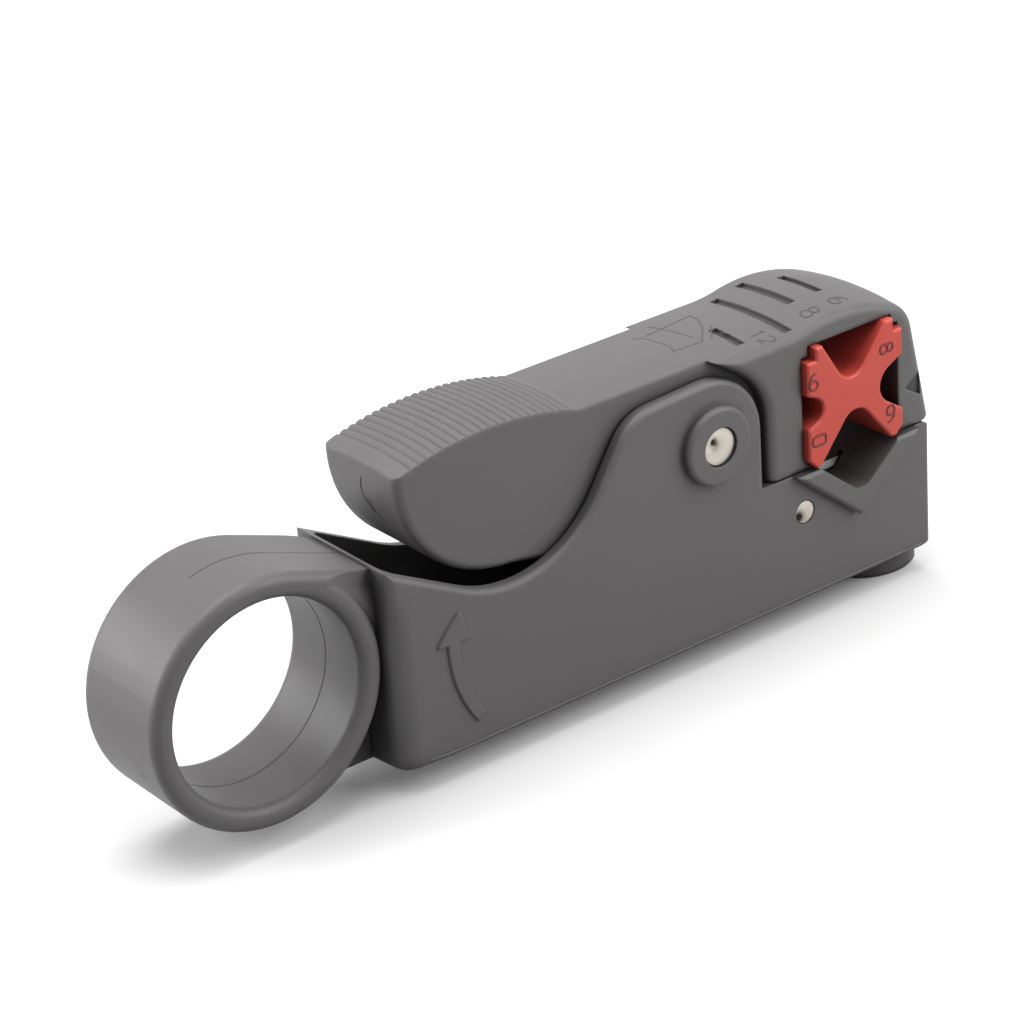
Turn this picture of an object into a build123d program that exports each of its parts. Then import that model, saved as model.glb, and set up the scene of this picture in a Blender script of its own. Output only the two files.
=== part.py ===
"""Rotary coaxial cable stripper: a body with a finger ring, a sprung thumb lever, a selector block and two blades.

Frame, in millimetres: the origin is the centre of the finger ring's bore. +X runs from the ring to the jaw,
+Y across the tool and +Z up, from the body to the lever. The tool is shown with its jaw closed.
Side outlines are drawn in X and Z and extruded across the tool.
"""

from build123d import *
import math
import os

os.makedirs("parts", exist_ok=True)

# Finger ring
RING_BORE_R = 11.5
RING_WALL = 2.7
RING_WIDTH = 13.8
RING_EDGE_R = 1.2
WEB_SLOPE_DEG = 20.0
WEB_WIDTH = 4.4
RING_TO_BODY = 0.2
STRAP_TAPER_X = 8.0
STRAP_END_WIDTH = 9.0

# Body moulding
BODY_WIDTH = 16.8
LEVER_LENGTH = 44.8
BODY_BOTTOM_Z = -14.3
BODY_TOP_Z = 2.2
WALL = 1.6
FLOOR = 2.4
BODY_EDGE_R = 0.6
WALL_TOP_R = 0.7
BODY_REAR_CORNER_R = 1.0
BODY_REAR_FOOT_R = 1.2
BODY_FRONT_FOOT_R = 2.0
BODY_FRONT_TOP_R = 1.3
END_WALL = 0.8
TROUGH_CORNER_R = 1.5
WALL_REAR_Z = 10.2
DIP_SHARE = 0.4755
DIP_DROP_SHARE = 0.2522
DIP_R_SHARE = 0.3192

# Pivot ears
PIVOT_Z = 10.0
EAR_TOP_Z = 17.9
EAR_REAR_SHARE = 0.2567
EAR_REAR_DROP = 1.0
EAR_REAR_R = 6.0
EAR_REACH = 7.15
EAR_FRONT_R = 7.8
BOSS_R = 5.0
BOSS_HEIGHT = 1.0
BOSS_EDGE_R = 0.6
PIVOT_PIN_R = 2.3
PIN_RECESS = 0.15
PIN_DIMPLE_R = 0.6
PIN_CHAMFER = 0.3

# Lever
SIDE_PLAY = 0.3
PAD_CENTRE_SHARE = 0.3929
PAD_CENTRE_Z = 18.6
PAD_R_SHARE = 0.3158
PAD_NOSE_R = 1.3
PAD_NOSE_RISE = 0.85
PAD_NOSE_SLOPE_DEG = 25.0
PAD_EDGE_R = 0.9
PAD_TOP_Z = 21.5
PAD_TOP_R = 40.5
PAD_TOP_BACK = 1.8
PAD_WALL = 1.7
PAD_ROOF = 2.4
PAD_MOUTH_BACK = 5.0
CROWN_R = 47.2
ARM_TOP_Z = 19.6
ARM_DEPTH = 6.2
ARM_START_SHARE = 0.375
HUB_R = 6.3
RIB_PITCH = 1.05
RIB_COUNT = 21
RIB_DEPTH = 0.24
RIB_START_BACK = 12.4

# Jaw head
HEAD_GAP = 0.25
EAR_GAP = 0.95
HEAD_TIP_FORWARD = 0.3
HEAD_TIP_SLOPE_DEG = 34.0
HEAD_CROWN_Z = 20.4
HEAD_CROWN_BACK = 1.5
HEAD_RAMP = 8.0
HEAD_TOP_R = 23.0
HEAD_BROW_BACK = 2.95
HEAD_REAR_WALL = 4.95
HEAD_FRONT_WALL = 4.85
HEAD_OVERHANG = 0.4
HEAD_FRONT_R = 4.5
HEAD_CHAMFER_X = 1.5
HEAD_CHAMFER_Z = 0.6
HEAD_EDGE_R = 1.2
BAR_WIDTH = 1.2
BAR_DEPTH = 0.45
MARK_DEPTH = 0.4

# Selector block and its window
BLOCK_SIDE = 14.6
BLOCK_PROUD = 1.0
BLOCK_PLAY = 0.15
BLOCK_FLOAT = 0.3
BLOCK_KEY_WIDTH = 1.35
BLOCK_KEY_HEIGHT = 1.5
BLOCK_CHAMFER = 1.1
BLOCK_EDGE = 0.22

# Cable seat
SEAT_FORWARD = 0.4
SEAT_HALF_WIDTH = 6.0
SEAT_SLOPE_DEG = 39.0
SEAT_BOTTOM_R = 2.0
COLLAR_THICKNESS = 2.25
COLLAR_PROUD = 1.2
COLLAR_EDGE_R = 0.35

# Blade holder, pin, carriers and blades
HOLDER_WALL = 1.3
HOLDER_FRONT_WALL = 1.6
HOLDER_WIDTH = 10.8
HOLDER_PLAY = 0.15
SEAT_FLOOR = 2.3
BLADE_PIN_BACK = 1.8
BLADE_PIN_Z = -2.9
BLADE_PIN_R = 1.4
RUN_FIT = 0.05
PRESS_FIT = 0.02
BLADE_SPACING = 6.4
BLADE_THICK = 0.6
BLADE_LENGTH = 8.0
BLADE_HEIGHT = 7.1
BLADE_STAND = 1.2
BLADE_BEVEL = 0.8
CARRIER_WIDTH = 2.6
CARRIER_PLAY = 0.15
CARRIER_EYE_R = 2.6
CARRIER_BAR = 3.2
CARRIER_END_GAP = 1.2
CARRIER_BOTTOM_Z = -8.6
DOWEL_R = 0.8

# Foot, adjusting screws and pads
FOOT_R = 6.7
FOOT_BACK = 3.6
FOOT_DROP = 2.7
FOOT_EDGE_R = 0.6
SCREW_BACK = 5.0
SCREW_R = 1.5
SCREW_SINK = 0.6
SCREW_TIP_R = 1.1
SCREW_TIP = 1.1
SOCKET_FLATS = 1.5
SOCKET_DEPTH = 2.0
PAD_DISC_R = 1.2
PAD_DISC = 0.6
PAD_GAP = 0.05
CARRIER_FLOOR_GAP = 1.0

# Return spring
SPRING_BACK = 10.9
SPRING_R = 3.2
SPRING_WIRE_R = 0.5
SPRING_TURNS = 7
SPIGOT_R = 2.2
SPIGOT_LENGTH = 3.0
SPRING_PLAY = 0.02

# Values worked out from those above
RING_R = RING_BORE_R + RING_WALL
HALF_BODY = BODY_WIDTH / 2
HALF_TROUGH = HALF_BODY - WALL
HALF_LEVER = HALF_TROUGH - SIDE_PLAY
BODY_REAR_X = RING_R + RING_TO_BODY
PIVOT_X = BODY_REAR_X + LEVER_LENGTH
TROUGH_FLOOR_Z = BODY_BOTTOM_Z + FLOOR
EAR_FRONT_X = PIVOT_X + EAR_REACH
HEAD_REAR_R = EAR_REACH + EAR_GAP
HEAD_REAR_X = PIVOT_X + HEAD_REAR_R
BLOCK_CENTRE_X = HEAD_REAR_X + HEAD_REAR_WALL + BLOCK_PLAY + BLOCK_SIDE / 2
BODY_FRONT_X = BLOCK_CENTRE_X + BLOCK_SIDE / 2 + BLOCK_PLAY + HEAD_FRONT_WALL
BODY_LENGTH = BODY_FRONT_X - BODY_REAR_X
HEAD_FRONT_X = BODY_FRONT_X + HEAD_OVERHANG
HEAD_TIP_X = PIVOT_X + HEAD_TIP_FORWARD
HEAD_CROWN_X = BLOCK_CENTRE_X - HEAD_CROWN_BACK
HEAD_RAMP_X = HEAD_CROWN_X - HEAD_RAMP
HEAD_BROW_X = HEAD_FRONT_X - HEAD_BROW_BACK
HEAD_BROW_Z = HEAD_CROWN_Z - HEAD_TOP_R + math.sqrt(HEAD_TOP_R**2 - (HEAD_BROW_X - HEAD_CROWN_X) ** 2)
SEAT_X = BLOCK_CENTRE_X + SEAT_FORWARD
BLADE_PIN_X = SEAT_X - SEAT_HALF_WIDTH - BLADE_PIN_BACK
HOLDER_REAR_X = BLADE_PIN_X - CARRIER_EYE_R - HOLDER_WALL
HOLDER_FRONT_X = BODY_FRONT_X - HOLDER_FRONT_WALL
CARRIER_END_X = HOLDER_FRONT_X - CARRIER_END_GAP
FOOT_X = BODY_FRONT_X - FOOT_BACK
SCREW_X = BODY_FRONT_X - SCREW_BACK
SPRING_X = PIVOT_X - SPRING_BACK
DIP_X = BODY_REAR_X + LEVER_LENGTH * DIP_SHARE
DIP_Z = WALL_REAR_Z - LEVER_LENGTH * DIP_DROP_SHARE
DIP_R = LEVER_LENGTH * DIP_R_SHARE
EAR_REAR_X = PIVOT_X - LEVER_LENGTH * EAR_REAR_SHARE
PAD_CENTRE_X = BODY_REAR_X + LEVER_LENGTH * PAD_CENTRE_SHARE
PAD_R = LEVER_LENGTH * PAD_R_SHARE
PAD_TOP_X = PAD_CENTRE_X - PAD_TOP_BACK
PAD_MOUTH_X = PAD_CENTRE_X - PAD_MOUTH_BACK
RIB_START_X = PAD_CENTRE_X - RIB_START_BACK
ARM_START_X = PIVOT_X - LEVER_LENGTH * ARM_START_SHARE
TROUGH_REAR_X = BODY_REAR_X + END_WALL
ARM_BOTTOM_Z = ARM_TOP_Z - ARM_DEPTH
HEAD_BOTTOM_Z = BODY_TOP_Z + HEAD_GAP
HEAD_FRONT_Z = HEAD_BOTTOM_Z + HEAD_CHAMFER_Z
HEAD_FRONT_LEAN = HEAD_BROW_BACK / (HEAD_BROW_Z - HEAD_FRONT_Z)
TROUGH_FRONT_X = HOLDER_REAR_X - FLOOR
SEAT_RISE = math.tan(math.radians(SEAT_SLOPE_DEG))
SEAT_APEX_Z = BODY_TOP_Z - SEAT_HALF_WIDTH * SEAT_RISE
SEAT_BOTTOM_Z = SEAT_APEX_Z + SEAT_BOTTOM_R * (1 / math.cos(math.radians(SEAT_SLOPE_DEG)) - 1)
COLLAR_DROP = COLLAR_THICKNESS / math.cos(math.radians(SEAT_SLOPE_DEG))
BLOCK_BOTTOM_Z = BODY_TOP_Z + BLOCK_FLOAT
BLOCK_CENTRE_Z = BLOCK_BOTTOM_Z + BLOCK_SIDE / 2
BLOCK_TOP_Z = BLOCK_BOTTOM_Z + BLOCK_SIDE
HALF_BLOCK = HALF_BODY + BLOCK_PROUD
HALF_COLLAR = HALF_BODY + COLLAR_PROUD
HALF_BOSS = HALF_BODY + BOSS_HEIGHT
HALF_HOLDER = HOLDER_WIDTH / 2
BLADE_Y = BLADE_SPACING / 2
BLADE_TOP_Z = SEAT_BOTTOM_Z + BLADE_STAND
BLADE_BOTTOM_Z = BLADE_TOP_Z - BLADE_HEIGHT
POCKET_TOP_Z = SEAT_BOTTOM_Z - SEAT_FLOOR
PIN_POCKET_TOP_Z = BLADE_PIN_Z + CARRIER_EYE_R + 2 * CARRIER_PLAY
PIN_POCKET_FRONT_X = BLADE_PIN_X + CARRIER_EYE_R + 2 * CARRIER_PLAY
CARRIER_TOP_Z = CARRIER_BOTTOM_Z + CARRIER_BAR
CHANNEL_FLOOR_Z = CARRIER_BOTTOM_Z - CARRIER_FLOOR_GAP
FOOT_Z = BODY_BOTTOM_Z - FOOT_DROP
PAD_TOP_FACE_Z = CARRIER_BOTTOM_Z - PAD_GAP
SCREW_TOP_Z = PAD_TOP_FACE_Z - PAD_DISC - PAD_GAP
FAR = 200.0


def side_prism(sketch, y_low, y_high):
    """Extrudes a side outline, drawn in X and Z, from y_low to y_high."""
    return extrude(Plane.XZ.offset(-y_high) * sketch, amount=y_high - y_low)


def across(sketch, half_width):
    """Extrudes a side outline the same way to both sides of the middle plane."""
    return side_prism(sketch, -half_width, half_width)


def outline(points, radii):
    """A closed side outline: straight edges with a radius at each corner, 0 for a sharp one."""
    face = make_face(Polyline(*points, close=True))
    for point, radius in zip(points, radii):
        if radius > 0:
            corner = face.vertices().sort_by_distance(Vector(*point))[0]
            face = fillet(corner, radius)
    return face


def box_between(x, y, z):
    """A box from three pairs of limits."""
    size = [pair[1] - pair[0] for pair in (x, y, z)]
    centre = [(pair[1] + pair[0]) / 2 for pair in (x, y, z)]
    return Pos(*centre) * Box(*size)


def cross_cylinder(x, z, radius, y_low, y_high):
    """A round bar along Y."""
    return side_prism(Pos(x, z) * Circle(radius), y_low, y_high)


def both_sides(shape):
    """The shape and its mirror image in the middle plane."""
    return [shape, mirror(shape, Plane.XZ)]


def body_outline():
    """The body's side view from the rear face to the front, with the dip for the thumb and the pivot ears."""
    points = [
        (BODY_REAR_X, BODY_BOTTOM_Z),
        (BODY_FRONT_X, BODY_BOTTOM_Z),
        (BODY_FRONT_X, BODY_TOP_Z),
        (EAR_FRONT_X, BODY_TOP_Z),
        (EAR_FRONT_X, EAR_TOP_Z),
        (EAR_REAR_X, EAR_TOP_Z - EAR_REAR_DROP),
        (DIP_X, DIP_Z),
        (BODY_REAR_X, WALL_REAR_Z),
    ]
    radii = [BODY_REAR_FOOT_R, BODY_FRONT_FOOT_R, BODY_FRONT_TOP_R, 0, EAR_FRONT_R, EAR_REAR_R, DIP_R, 0]
    return outline(points, radii)


def soften_wall_tops(shell):
    """Rounds the outer top edges of the trough's side walls and ears."""
    edges = []
    for edge in shell.edges():
        middle = edge.position_at(0.5)
        on_side = abs(abs(middle.Y) - HALF_BODY) < 0.01
        lifted = middle.Z > BODY_TOP_Z + 0.5
        if on_side and lifted and middle.X > BODY_REAR_X + 0.5:
            edges.append(edge)
    return fillet(edges, WALL_TOP_R)


def body_plan():
    """The body's view from above, with rounded corners, drawn from far below to far above."""
    centre_x = (BODY_REAR_X + BODY_FRONT_X) / 2
    plan = Pos(centre_x, 0) * Rectangle(BODY_LENGTH, BODY_WIDTH)
    plan = fillet(plan.vertices().group_by(Axis.X)[0], BODY_REAR_CORNER_R)
    plan = fillet(plan.vertices().group_by(Axis.X)[-1], BODY_EDGE_R)
    return extrude(Plane.XY.offset(-FAR) * plan, amount=2 * FAR)


def body_section():
    """The body's cross section, rounded along its two lower edges and open to far above."""
    section = Pos(0, (BODY_BOTTOM_Z + FAR) / 2) * Rectangle(BODY_WIDTH, FAR - BODY_BOTTOM_Z)
    section = fillet(section.vertices().group_by(Axis.Y)[0], BODY_EDGE_R)
    return extrude(Plane.YZ.offset(-FAR) * section, amount=2 * FAR)


def ring_tube():
    """The finger ring, rounded on all four edges."""
    half = RING_WIDTH / 2
    section = Pos(RING_BORE_R + RING_WALL / 2, 0) * Rectangle(RING_WALL, RING_WIDTH)
    section = fillet(section.vertices(), RING_EDGE_R)
    return revolve(section, axis=Axis.Y)


def web_strap():
    """The ring's own rounded section, carried on in a straight line to the trough's end wall and narrowed there."""
    section = fillet(Rectangle(RING_WALL, RING_WIDTH).vertices(), RING_EDGE_R)
    middle_r = RING_BORE_R + RING_WALL / 2
    slope = math.radians(WEB_SLOPE_DEG)
    end_x = TROUGH_REAR_X + 1
    run = (end_x - middle_r * math.sin(slope)) / math.cos(slope)
    strap = extrude(Plane.YZ * Rot(0, 0, 90) * section, amount=run)
    strap = Rot(0, WEB_SLOPE_DEG, 0) * Pos(0, 0, middle_r) * strap
    start = (STRAP_TAPER_X, RING_WIDTH / 2)
    end = (end_x + 1, STRAP_END_WIDTH / 2)
    wedge = extrude(make_face(Polyline(start, end, (end_x + 1, RING_WIDTH), close=True)), amount=FAR)
    return strap - both_sides(wedge)


def web_plate():
    """The narrow upright plate between ring and body, from under the strap to level with the ring's bottom."""
    slope = math.radians(WEB_SLOPE_DEG)
    radius = RING_R - RING_WALL / 2
    touch_x = radius * math.sin(slope)
    touch_z = radius * math.cos(slope)
    end_x = TROUGH_REAR_X
    end_z = touch_z - (end_x - touch_x) * math.tan(slope)
    low_z = BODY_BOTTOM_Z + BODY_REAR_FOOT_R / 4
    points = [(0, low_z), (end_x, low_z), (end_x, end_z), (touch_x, touch_z), (0, 0)]
    return across(make_face(Polyline(*points, close=True)), WEB_WIDTH / 2)


def ring_web():
    """Joins ring and body: a narrowing strap over an upright plate."""
    return web_strap() + web_plate()


def seat_sketch(drop, rise):
    """The V of the cable seat, moved down by drop and open above the body by rise."""
    top_z = BODY_TOP_Z + rise
    apex_z = SEAT_APEX_Z - drop
    half = (top_z - apex_z) / SEAT_RISE
    return make_face(Polyline((SEAT_X - half, top_z), (SEAT_X, apex_z), (SEAT_X + half, top_z), close=True))


def seat_groove():
    """The V groove that the cable lies in, with a rounded bottom."""
    sketch = seat_sketch(0, 1.0)
    apex = sketch.vertices().sort_by(Axis.Y)[0]
    return across(fillet(apex, SEAT_BOTTOM_R), HALF_COLLAR + 1.0)


def seat_collar():
    """The raised V band that carries the seat past both sides of the body."""
    collar = across(seat_sketch(COLLAR_DROP, 0), HALF_COLLAR)
    sides = collar.faces().filter_by(Axis.Y)
    return chamfer(sides.edges(), COLLAR_EDGE_R)


def pivot_boss():
    """The round boss on the outside of one ear."""
    boss = cross_cylinder(PIVOT_X, PIVOT_Z, BOSS_R, -HALF_BOSS, -HALF_TROUGH)
    rim = boss.edges().sort_by(Axis.Y)[0]
    return fillet(rim, BOSS_EDGE_R)


def holder_outline(play):
    """The blade holder's side view: a low block with a tall lug round the blade pin."""
    rear_x = HOLDER_REAR_X + play
    front_x = HOLDER_FRONT_X - play
    points = [
        (rear_x, BODY_BOTTOM_Z),
        (front_x, BODY_BOTTOM_Z),
        (front_x, POCKET_TOP_Z - play),
        (PIN_POCKET_FRONT_X - play, POCKET_TOP_Z - play),
        (PIN_POCKET_FRONT_X - play, PIN_POCKET_TOP_Z - play),
        (rear_x, PIN_POCKET_TOP_Z - play),
    ]
    return make_face(Polyline(*points, close=True))


def blade_slot(y):
    """The narrow slot that lets one blade through the floor of the cable seat."""
    half = BLADE_THICK / 2 + CARRIER_PLAY
    half_length = BLADE_LENGTH / 2 + 2.5 * CARRIER_PLAY
    x = (SEAT_X - half_length, SEAT_X + half_length)
    z = (POCKET_TOP_Z - 1.0, BLADE_TOP_Z + 3 * CARRIER_PLAY)
    return box_between(x, (y - half, y + half), z)


def make_body():
    """The body moulding."""
    shell = soften_wall_tops(across(body_outline(), HALF_BODY)) & body_plan() & body_section()
    trough = box_between((TROUGH_REAR_X, TROUGH_FRONT_X), (-HALF_TROUGH, HALF_TROUGH), (TROUGH_FLOOR_Z, FAR))
    trough = fillet(trough.edges().filter_by(Axis.Z), TROUGH_CORNER_R)
    over_ledge = box_between((TROUGH_FRONT_X - 2, FAR), (-HALF_TROUGH, HALF_TROUGH), (BODY_TOP_Z, FAR))
    body = shell + ring_web() - trough - over_ledge
    body += ring_tube()
    body += both_sides(pivot_boss())
    body += seat_collar()
    body += Pos(SPRING_X, 0, TROUGH_FLOOR_Z + SPIGOT_LENGTH / 2) * Cylinder(SPIGOT_R, SPIGOT_LENGTH)
    body -= cross_cylinder(0, 0, RING_BORE_R, -RING_WIDTH, RING_WIDTH)
    body -= seat_groove()
    body -= across(holder_outline(0), HALF_HOLDER)
    for y in (-BLADE_Y, BLADE_Y):
        body -= blade_slot(y)
    body -= cross_cylinder(BLADE_PIN_X, BLADE_PIN_Z, BLADE_PIN_R + PRESS_FIT, -HALF_BODY - 1, HALF_BODY + 1)
    body -= cross_cylinder(PIVOT_X, PIVOT_Z, PIVOT_PIN_R + PRESS_FIT, -HALF_BOSS - 1, HALF_BOSS + 1)
    return body


def crown_line():
    """The lever's top line in side view: the ribbed pad, the arm, and the head's ramp, crown and front."""
    pad_axis_z = PAD_TOP_Z - PAD_TOP_R

    def pad_z(x):
        return pad_axis_z + math.sqrt(PAD_TOP_R**2 - (x - PAD_TOP_X) ** 2)

    rear_x = PAD_CENTRE_X - PAD_R - 2.0
    points = [(rear_x, BODY_BOTTOM_Z), (rear_x, pad_z(rear_x))]
    for n in range(RIB_COUNT):
        for share, depth in ((0.0, 0.0), (0.25, 0.15), (0.5, 1.0), (0.75, 0.15)):
            x = RIB_START_X + (n + share) * RIB_PITCH
            points.append((x, pad_z(x) - depth * RIB_DEPTH))
    points.append((ARM_START_X, ARM_TOP_Z))
    points.append((HEAD_RAMP_X, ARM_TOP_Z))
    rise = HEAD_CROWN_Z - ARM_TOP_Z
    ramp_r = (HEAD_RAMP**2 + rise**2) / (4 * rise)
    turn = math.degrees(2 * math.atan(rise / HEAD_RAMP))
    drop = math.degrees(math.asin((HEAD_BROW_X - HEAD_CROWN_X) / HEAD_TOP_R))
    up = CenterArc((HEAD_RAMP_X, ARM_TOP_Z + ramp_r), ramp_r, -90, turn)
    over = CenterArc((HEAD_CROWN_X, HEAD_CROWN_Z - ramp_r), ramp_r, 90, turn)
    down = CenterArc((HEAD_CROWN_X, HEAD_CROWN_Z - HEAD_TOP_R), HEAD_TOP_R, 90 - drop, drop)
    brow = (HEAD_BROW_X, HEAD_BROW_Z)
    front = Polyline(brow, (HEAD_FRONT_X, HEAD_FRONT_Z), (HEAD_FRONT_X, BODY_BOTTOM_Z), points[0])
    face = make_face(Polyline(*points) + up + over + down + front)
    return fillet(face.vertices().sort_by_distance(Vector(*brow))[0], HEAD_FRONT_R)


def crown_solid():
    """Everything under the lever's top surface, which is its top line turned about an axis far below it."""
    axis_z = PAD_TOP_Z - CROWN_R
    turn = math.degrees(math.asin((HALF_BODY + 2) / (BODY_TOP_Z - axis_z)))
    axis = Axis((0, 0, axis_z), (1, 0, 0))
    return revolve((Plane.XZ * crown_line()).rotate(axis, -turn), axis=axis, revolution_arc=2 * turn)


def soften_pad(shape):
    """Rounds the thumb pad's side edges round its nose and belly."""
    edges = []
    for edge in shape.edges():
        middle = edge.position_at(0.5)
        on_side = abs(abs(middle.Y) - HALF_LEVER) < 0.01
        if on_side and middle.X < PAD_CENTRE_X + PAD_R / 2 and edge.length > 0.5 and middle.Z < PAD_TOP_Z:
            edges.append(edge)
    return fillet(edges, PAD_EDGE_R)


def pad_and_arm():
    """The thumb pad's round belly, the arm and its hub, as wide as the trough allows."""
    pad = Pos(PAD_CENTRE_X, PAD_CENTRE_Z) * Circle(PAD_R)
    nose_x = PAD_CENTRE_X - PAD_R
    run = PAD_R * 1.3
    nose = [
        (nose_x, PAD_CENTRE_Z),
        (nose_x, PAD_CENTRE_Z + PAD_NOSE_RISE),
        (nose_x + run, PAD_CENTRE_Z + PAD_NOSE_RISE + run * math.tan(math.radians(PAD_NOSE_SLOPE_DEG))),
        (nose_x + run, PAD_CENTRE_Z),
    ]
    pad += outline(nose, [0, PAD_NOSE_R, 0, 0])
    pad += Pos(PAD_CENTRE_X + PAD_R / 2, PAD_CENTRE_Z + PAD_R / 2) * Rectangle(PAD_R, PAD_R)
    arm_x = (PAD_CENTRE_X, HEAD_REAR_X + 1.0)
    arm_z = (ARM_BOTTOM_Z, PAD_TOP_Z)
    arm = Pos(sum(arm_x) / 2, sum(arm_z) / 2) * Rectangle(arm_x[1] - arm_x[0], arm_z[1] - arm_z[0])
    hub = Pos(PIVOT_X, PIVOT_Z) * Circle(HUB_R)
    neck_x = (PIVOT_X, HEAD_REAR_X + 1.0)
    neck_z = (PIVOT_Z - HUB_R, PAD_TOP_Z)
    neck = Pos(sum(neck_x) / 2, sum(neck_z) / 2) * Rectangle(neck_x[1] - neck_x[0], neck_z[1] - neck_z[0])
    return soften_pad(across(pad + arm + hub + neck, HALF_LEVER))


def head_outline():
    """The jaw head's side view; its rear edge is an arc about the pivot that clears the ears."""
    top_z = PAD_TOP_Z + 1.0
    lean_x = HEAD_FRONT_X - (top_z - HEAD_FRONT_Z) * HEAD_FRONT_LEAN
    block = make_face(
        Polyline(
            (HEAD_TIP_X, HEAD_BOTTOM_Z),
            (HEAD_FRONT_X - HEAD_CHAMFER_X, HEAD_BOTTOM_Z),
            (HEAD_FRONT_X, HEAD_FRONT_Z),
            (lean_x, top_z),
            (HEAD_TIP_X, top_z),
            close=True,
        )
    )
    slope = math.radians(HEAD_TIP_SLOPE_DEG)
    touch = (PIVOT_X + HEAD_REAR_R * math.sin(slope), PIVOT_Z + HEAD_REAR_R * math.cos(slope))
    run = 12.0
    clear = Pos(PIVOT_X, PIVOT_Z) * Circle(HEAD_REAR_R)
    clear += make_face(
        Polyline(
            (PIVOT_X, PIVOT_Z),
            touch,
            (touch[0] - run * math.cos(slope), touch[1] + run * math.sin(slope)),
            (touch[0] - run * math.cos(slope), PIVOT_Z),
            close=True,
        )
    )
    low_z = HEAD_BOTTOM_Z - 1.0
    clear += Pos(HEAD_REAR_X - HEAD_REAR_R, (PIVOT_Z + low_z) / 2) * Rectangle(2 * HEAD_REAR_R, PIVOT_Z - low_z)
    return block - clear


def window_outline():
    """The square window in the head, open below between two lips and keyed in its top corners."""
    half = BLOCK_SIDE / 2 + BLOCK_PLAY
    top_z = BLOCK_TOP_Z + BLOCK_PLAY
    key_x = half - BLOCK_KEY_WIDTH
    key_z = top_z - BLOCK_KEY_HEIGHT
    lip_rise = BLOCK_CHAMFER + BLOCK_PLAY
    low_z = HEAD_BOTTOM_Z - 1.0
    lip_x = half - lip_rise - (BLOCK_BOTTOM_Z - low_z)
    points = [
        (-lip_x, low_z),
        (lip_x, low_z),
        (half, BLOCK_BOTTOM_Z + lip_rise),
        (half, key_z + 2 * BLOCK_PLAY),
        (key_x + 2 * BLOCK_PLAY, key_z + 2 * BLOCK_PLAY),
        (key_x + 2 * BLOCK_PLAY, top_z),
        (-key_x - 2 * BLOCK_PLAY, top_z),
        (-key_x - 2 * BLOCK_PLAY, key_z + 2 * BLOCK_PLAY),
        (-half, key_z + 2 * BLOCK_PLAY),
        (-half, BLOCK_BOTTOM_Z + lip_rise),
    ]
    return Pos(BLOCK_CENTRE_X, 0) * make_face(Polyline(*points, close=True))


def head_top_z(x):
    """Height of the head's top line: level, then a ramp of two equal arcs, then the arc over the crown."""
    if x > HEAD_CROWN_X:
        return HEAD_CROWN_Z - HEAD_TOP_R + math.sqrt(HEAD_TOP_R**2 - (x - HEAD_CROWN_X) ** 2)
    share = max(0.0, (x - HEAD_RAMP_X) / HEAD_RAMP)
    rise = HEAD_CROWN_Z - ARM_TOP_Z
    if share < 0.5:
        return ARM_TOP_Z + 2 * rise * share**2
    return HEAD_CROWN_Z - 2 * rise * (1 - share) ** 2


def bar_groove(x, y_low, y_high):
    """A groove across the head's top, one of the strip length bars."""
    axis_z = PAD_TOP_Z - CROWN_R
    radius = head_top_z(x) - axis_z - BAR_DEPTH
    ring = Pos(x, 0, axis_z) * Rot(0, 90, 0) * (Cylinder(radius + 5, BAR_WIDTH) - Cylinder(radius, BAR_WIDTH))
    return ring & box_between((x - BAR_WIDTH, x + BAR_WIDTH), (y_low, y_high), (0, HEAD_CROWN_Z + 2.0))


def pointer_mark():
    """The recessed triangle beside the window that points at the selector block."""
    tip_x = BLOCK_CENTRE_X + BLOCK_SIDE / 2 + 1.2
    base_x = tip_x + 2.4
    base_z = BLOCK_CENTRE_Z - BLOCK_SIDE / 6
    mark = make_face(Polyline((tip_x, base_z), (base_x, base_z + 1.5), (base_x, base_z - 1.5), close=True))
    return side_prism(mark, -HALF_BODY - 1, -HALF_BODY + MARK_DEPTH)


def pad_cavity():
    """The cored-out underside of the thumb pad."""
    inner = Pos(PAD_CENTRE_X, PAD_CENTRE_Z) * Circle(PAD_R - PAD_WALL)
    roof = PAD_TOP_R - PAD_ROOF
    under_roof = Pos(PAD_TOP_X, PAD_TOP_Z - PAD_TOP_R) * Circle(roof)
    mouth_x = (PAD_MOUTH_X, PAD_CENTRE_X + PAD_R - PAD_WALL)
    mouth_z = (PAD_CENTRE_Z - PAD_R - 1, PAD_CENTRE_Z)
    mouth = Pos(sum(mouth_x) / 2, sum(mouth_z) / 2) * Rectangle(mouth_x[1] - mouth_x[0], mouth_z[1] - mouth_z[0])
    return across((inner & under_roof) + (mouth & under_roof), HALF_LEVER - PAD_WALL)


def make_head():
    """The jaw head, rounded where its sides meet the top and the front."""
    head = across(head_outline(), HALF_BODY) & crown_solid()
    edges = []
    for edge in head.edges():
        middle = edge.position_at(0.5)
        on_side = abs(abs(middle.Y) - HALF_BODY) < 0.01
        if on_side and (middle.Z > ARM_BOTTOM_Z + 3 or middle.X > HEAD_BROW_X):
            if middle.Z > HEAD_FRONT_Z + 0.5:
                edges.append(edge)
    return fillet(edges, HEAD_EDGE_R)


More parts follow.
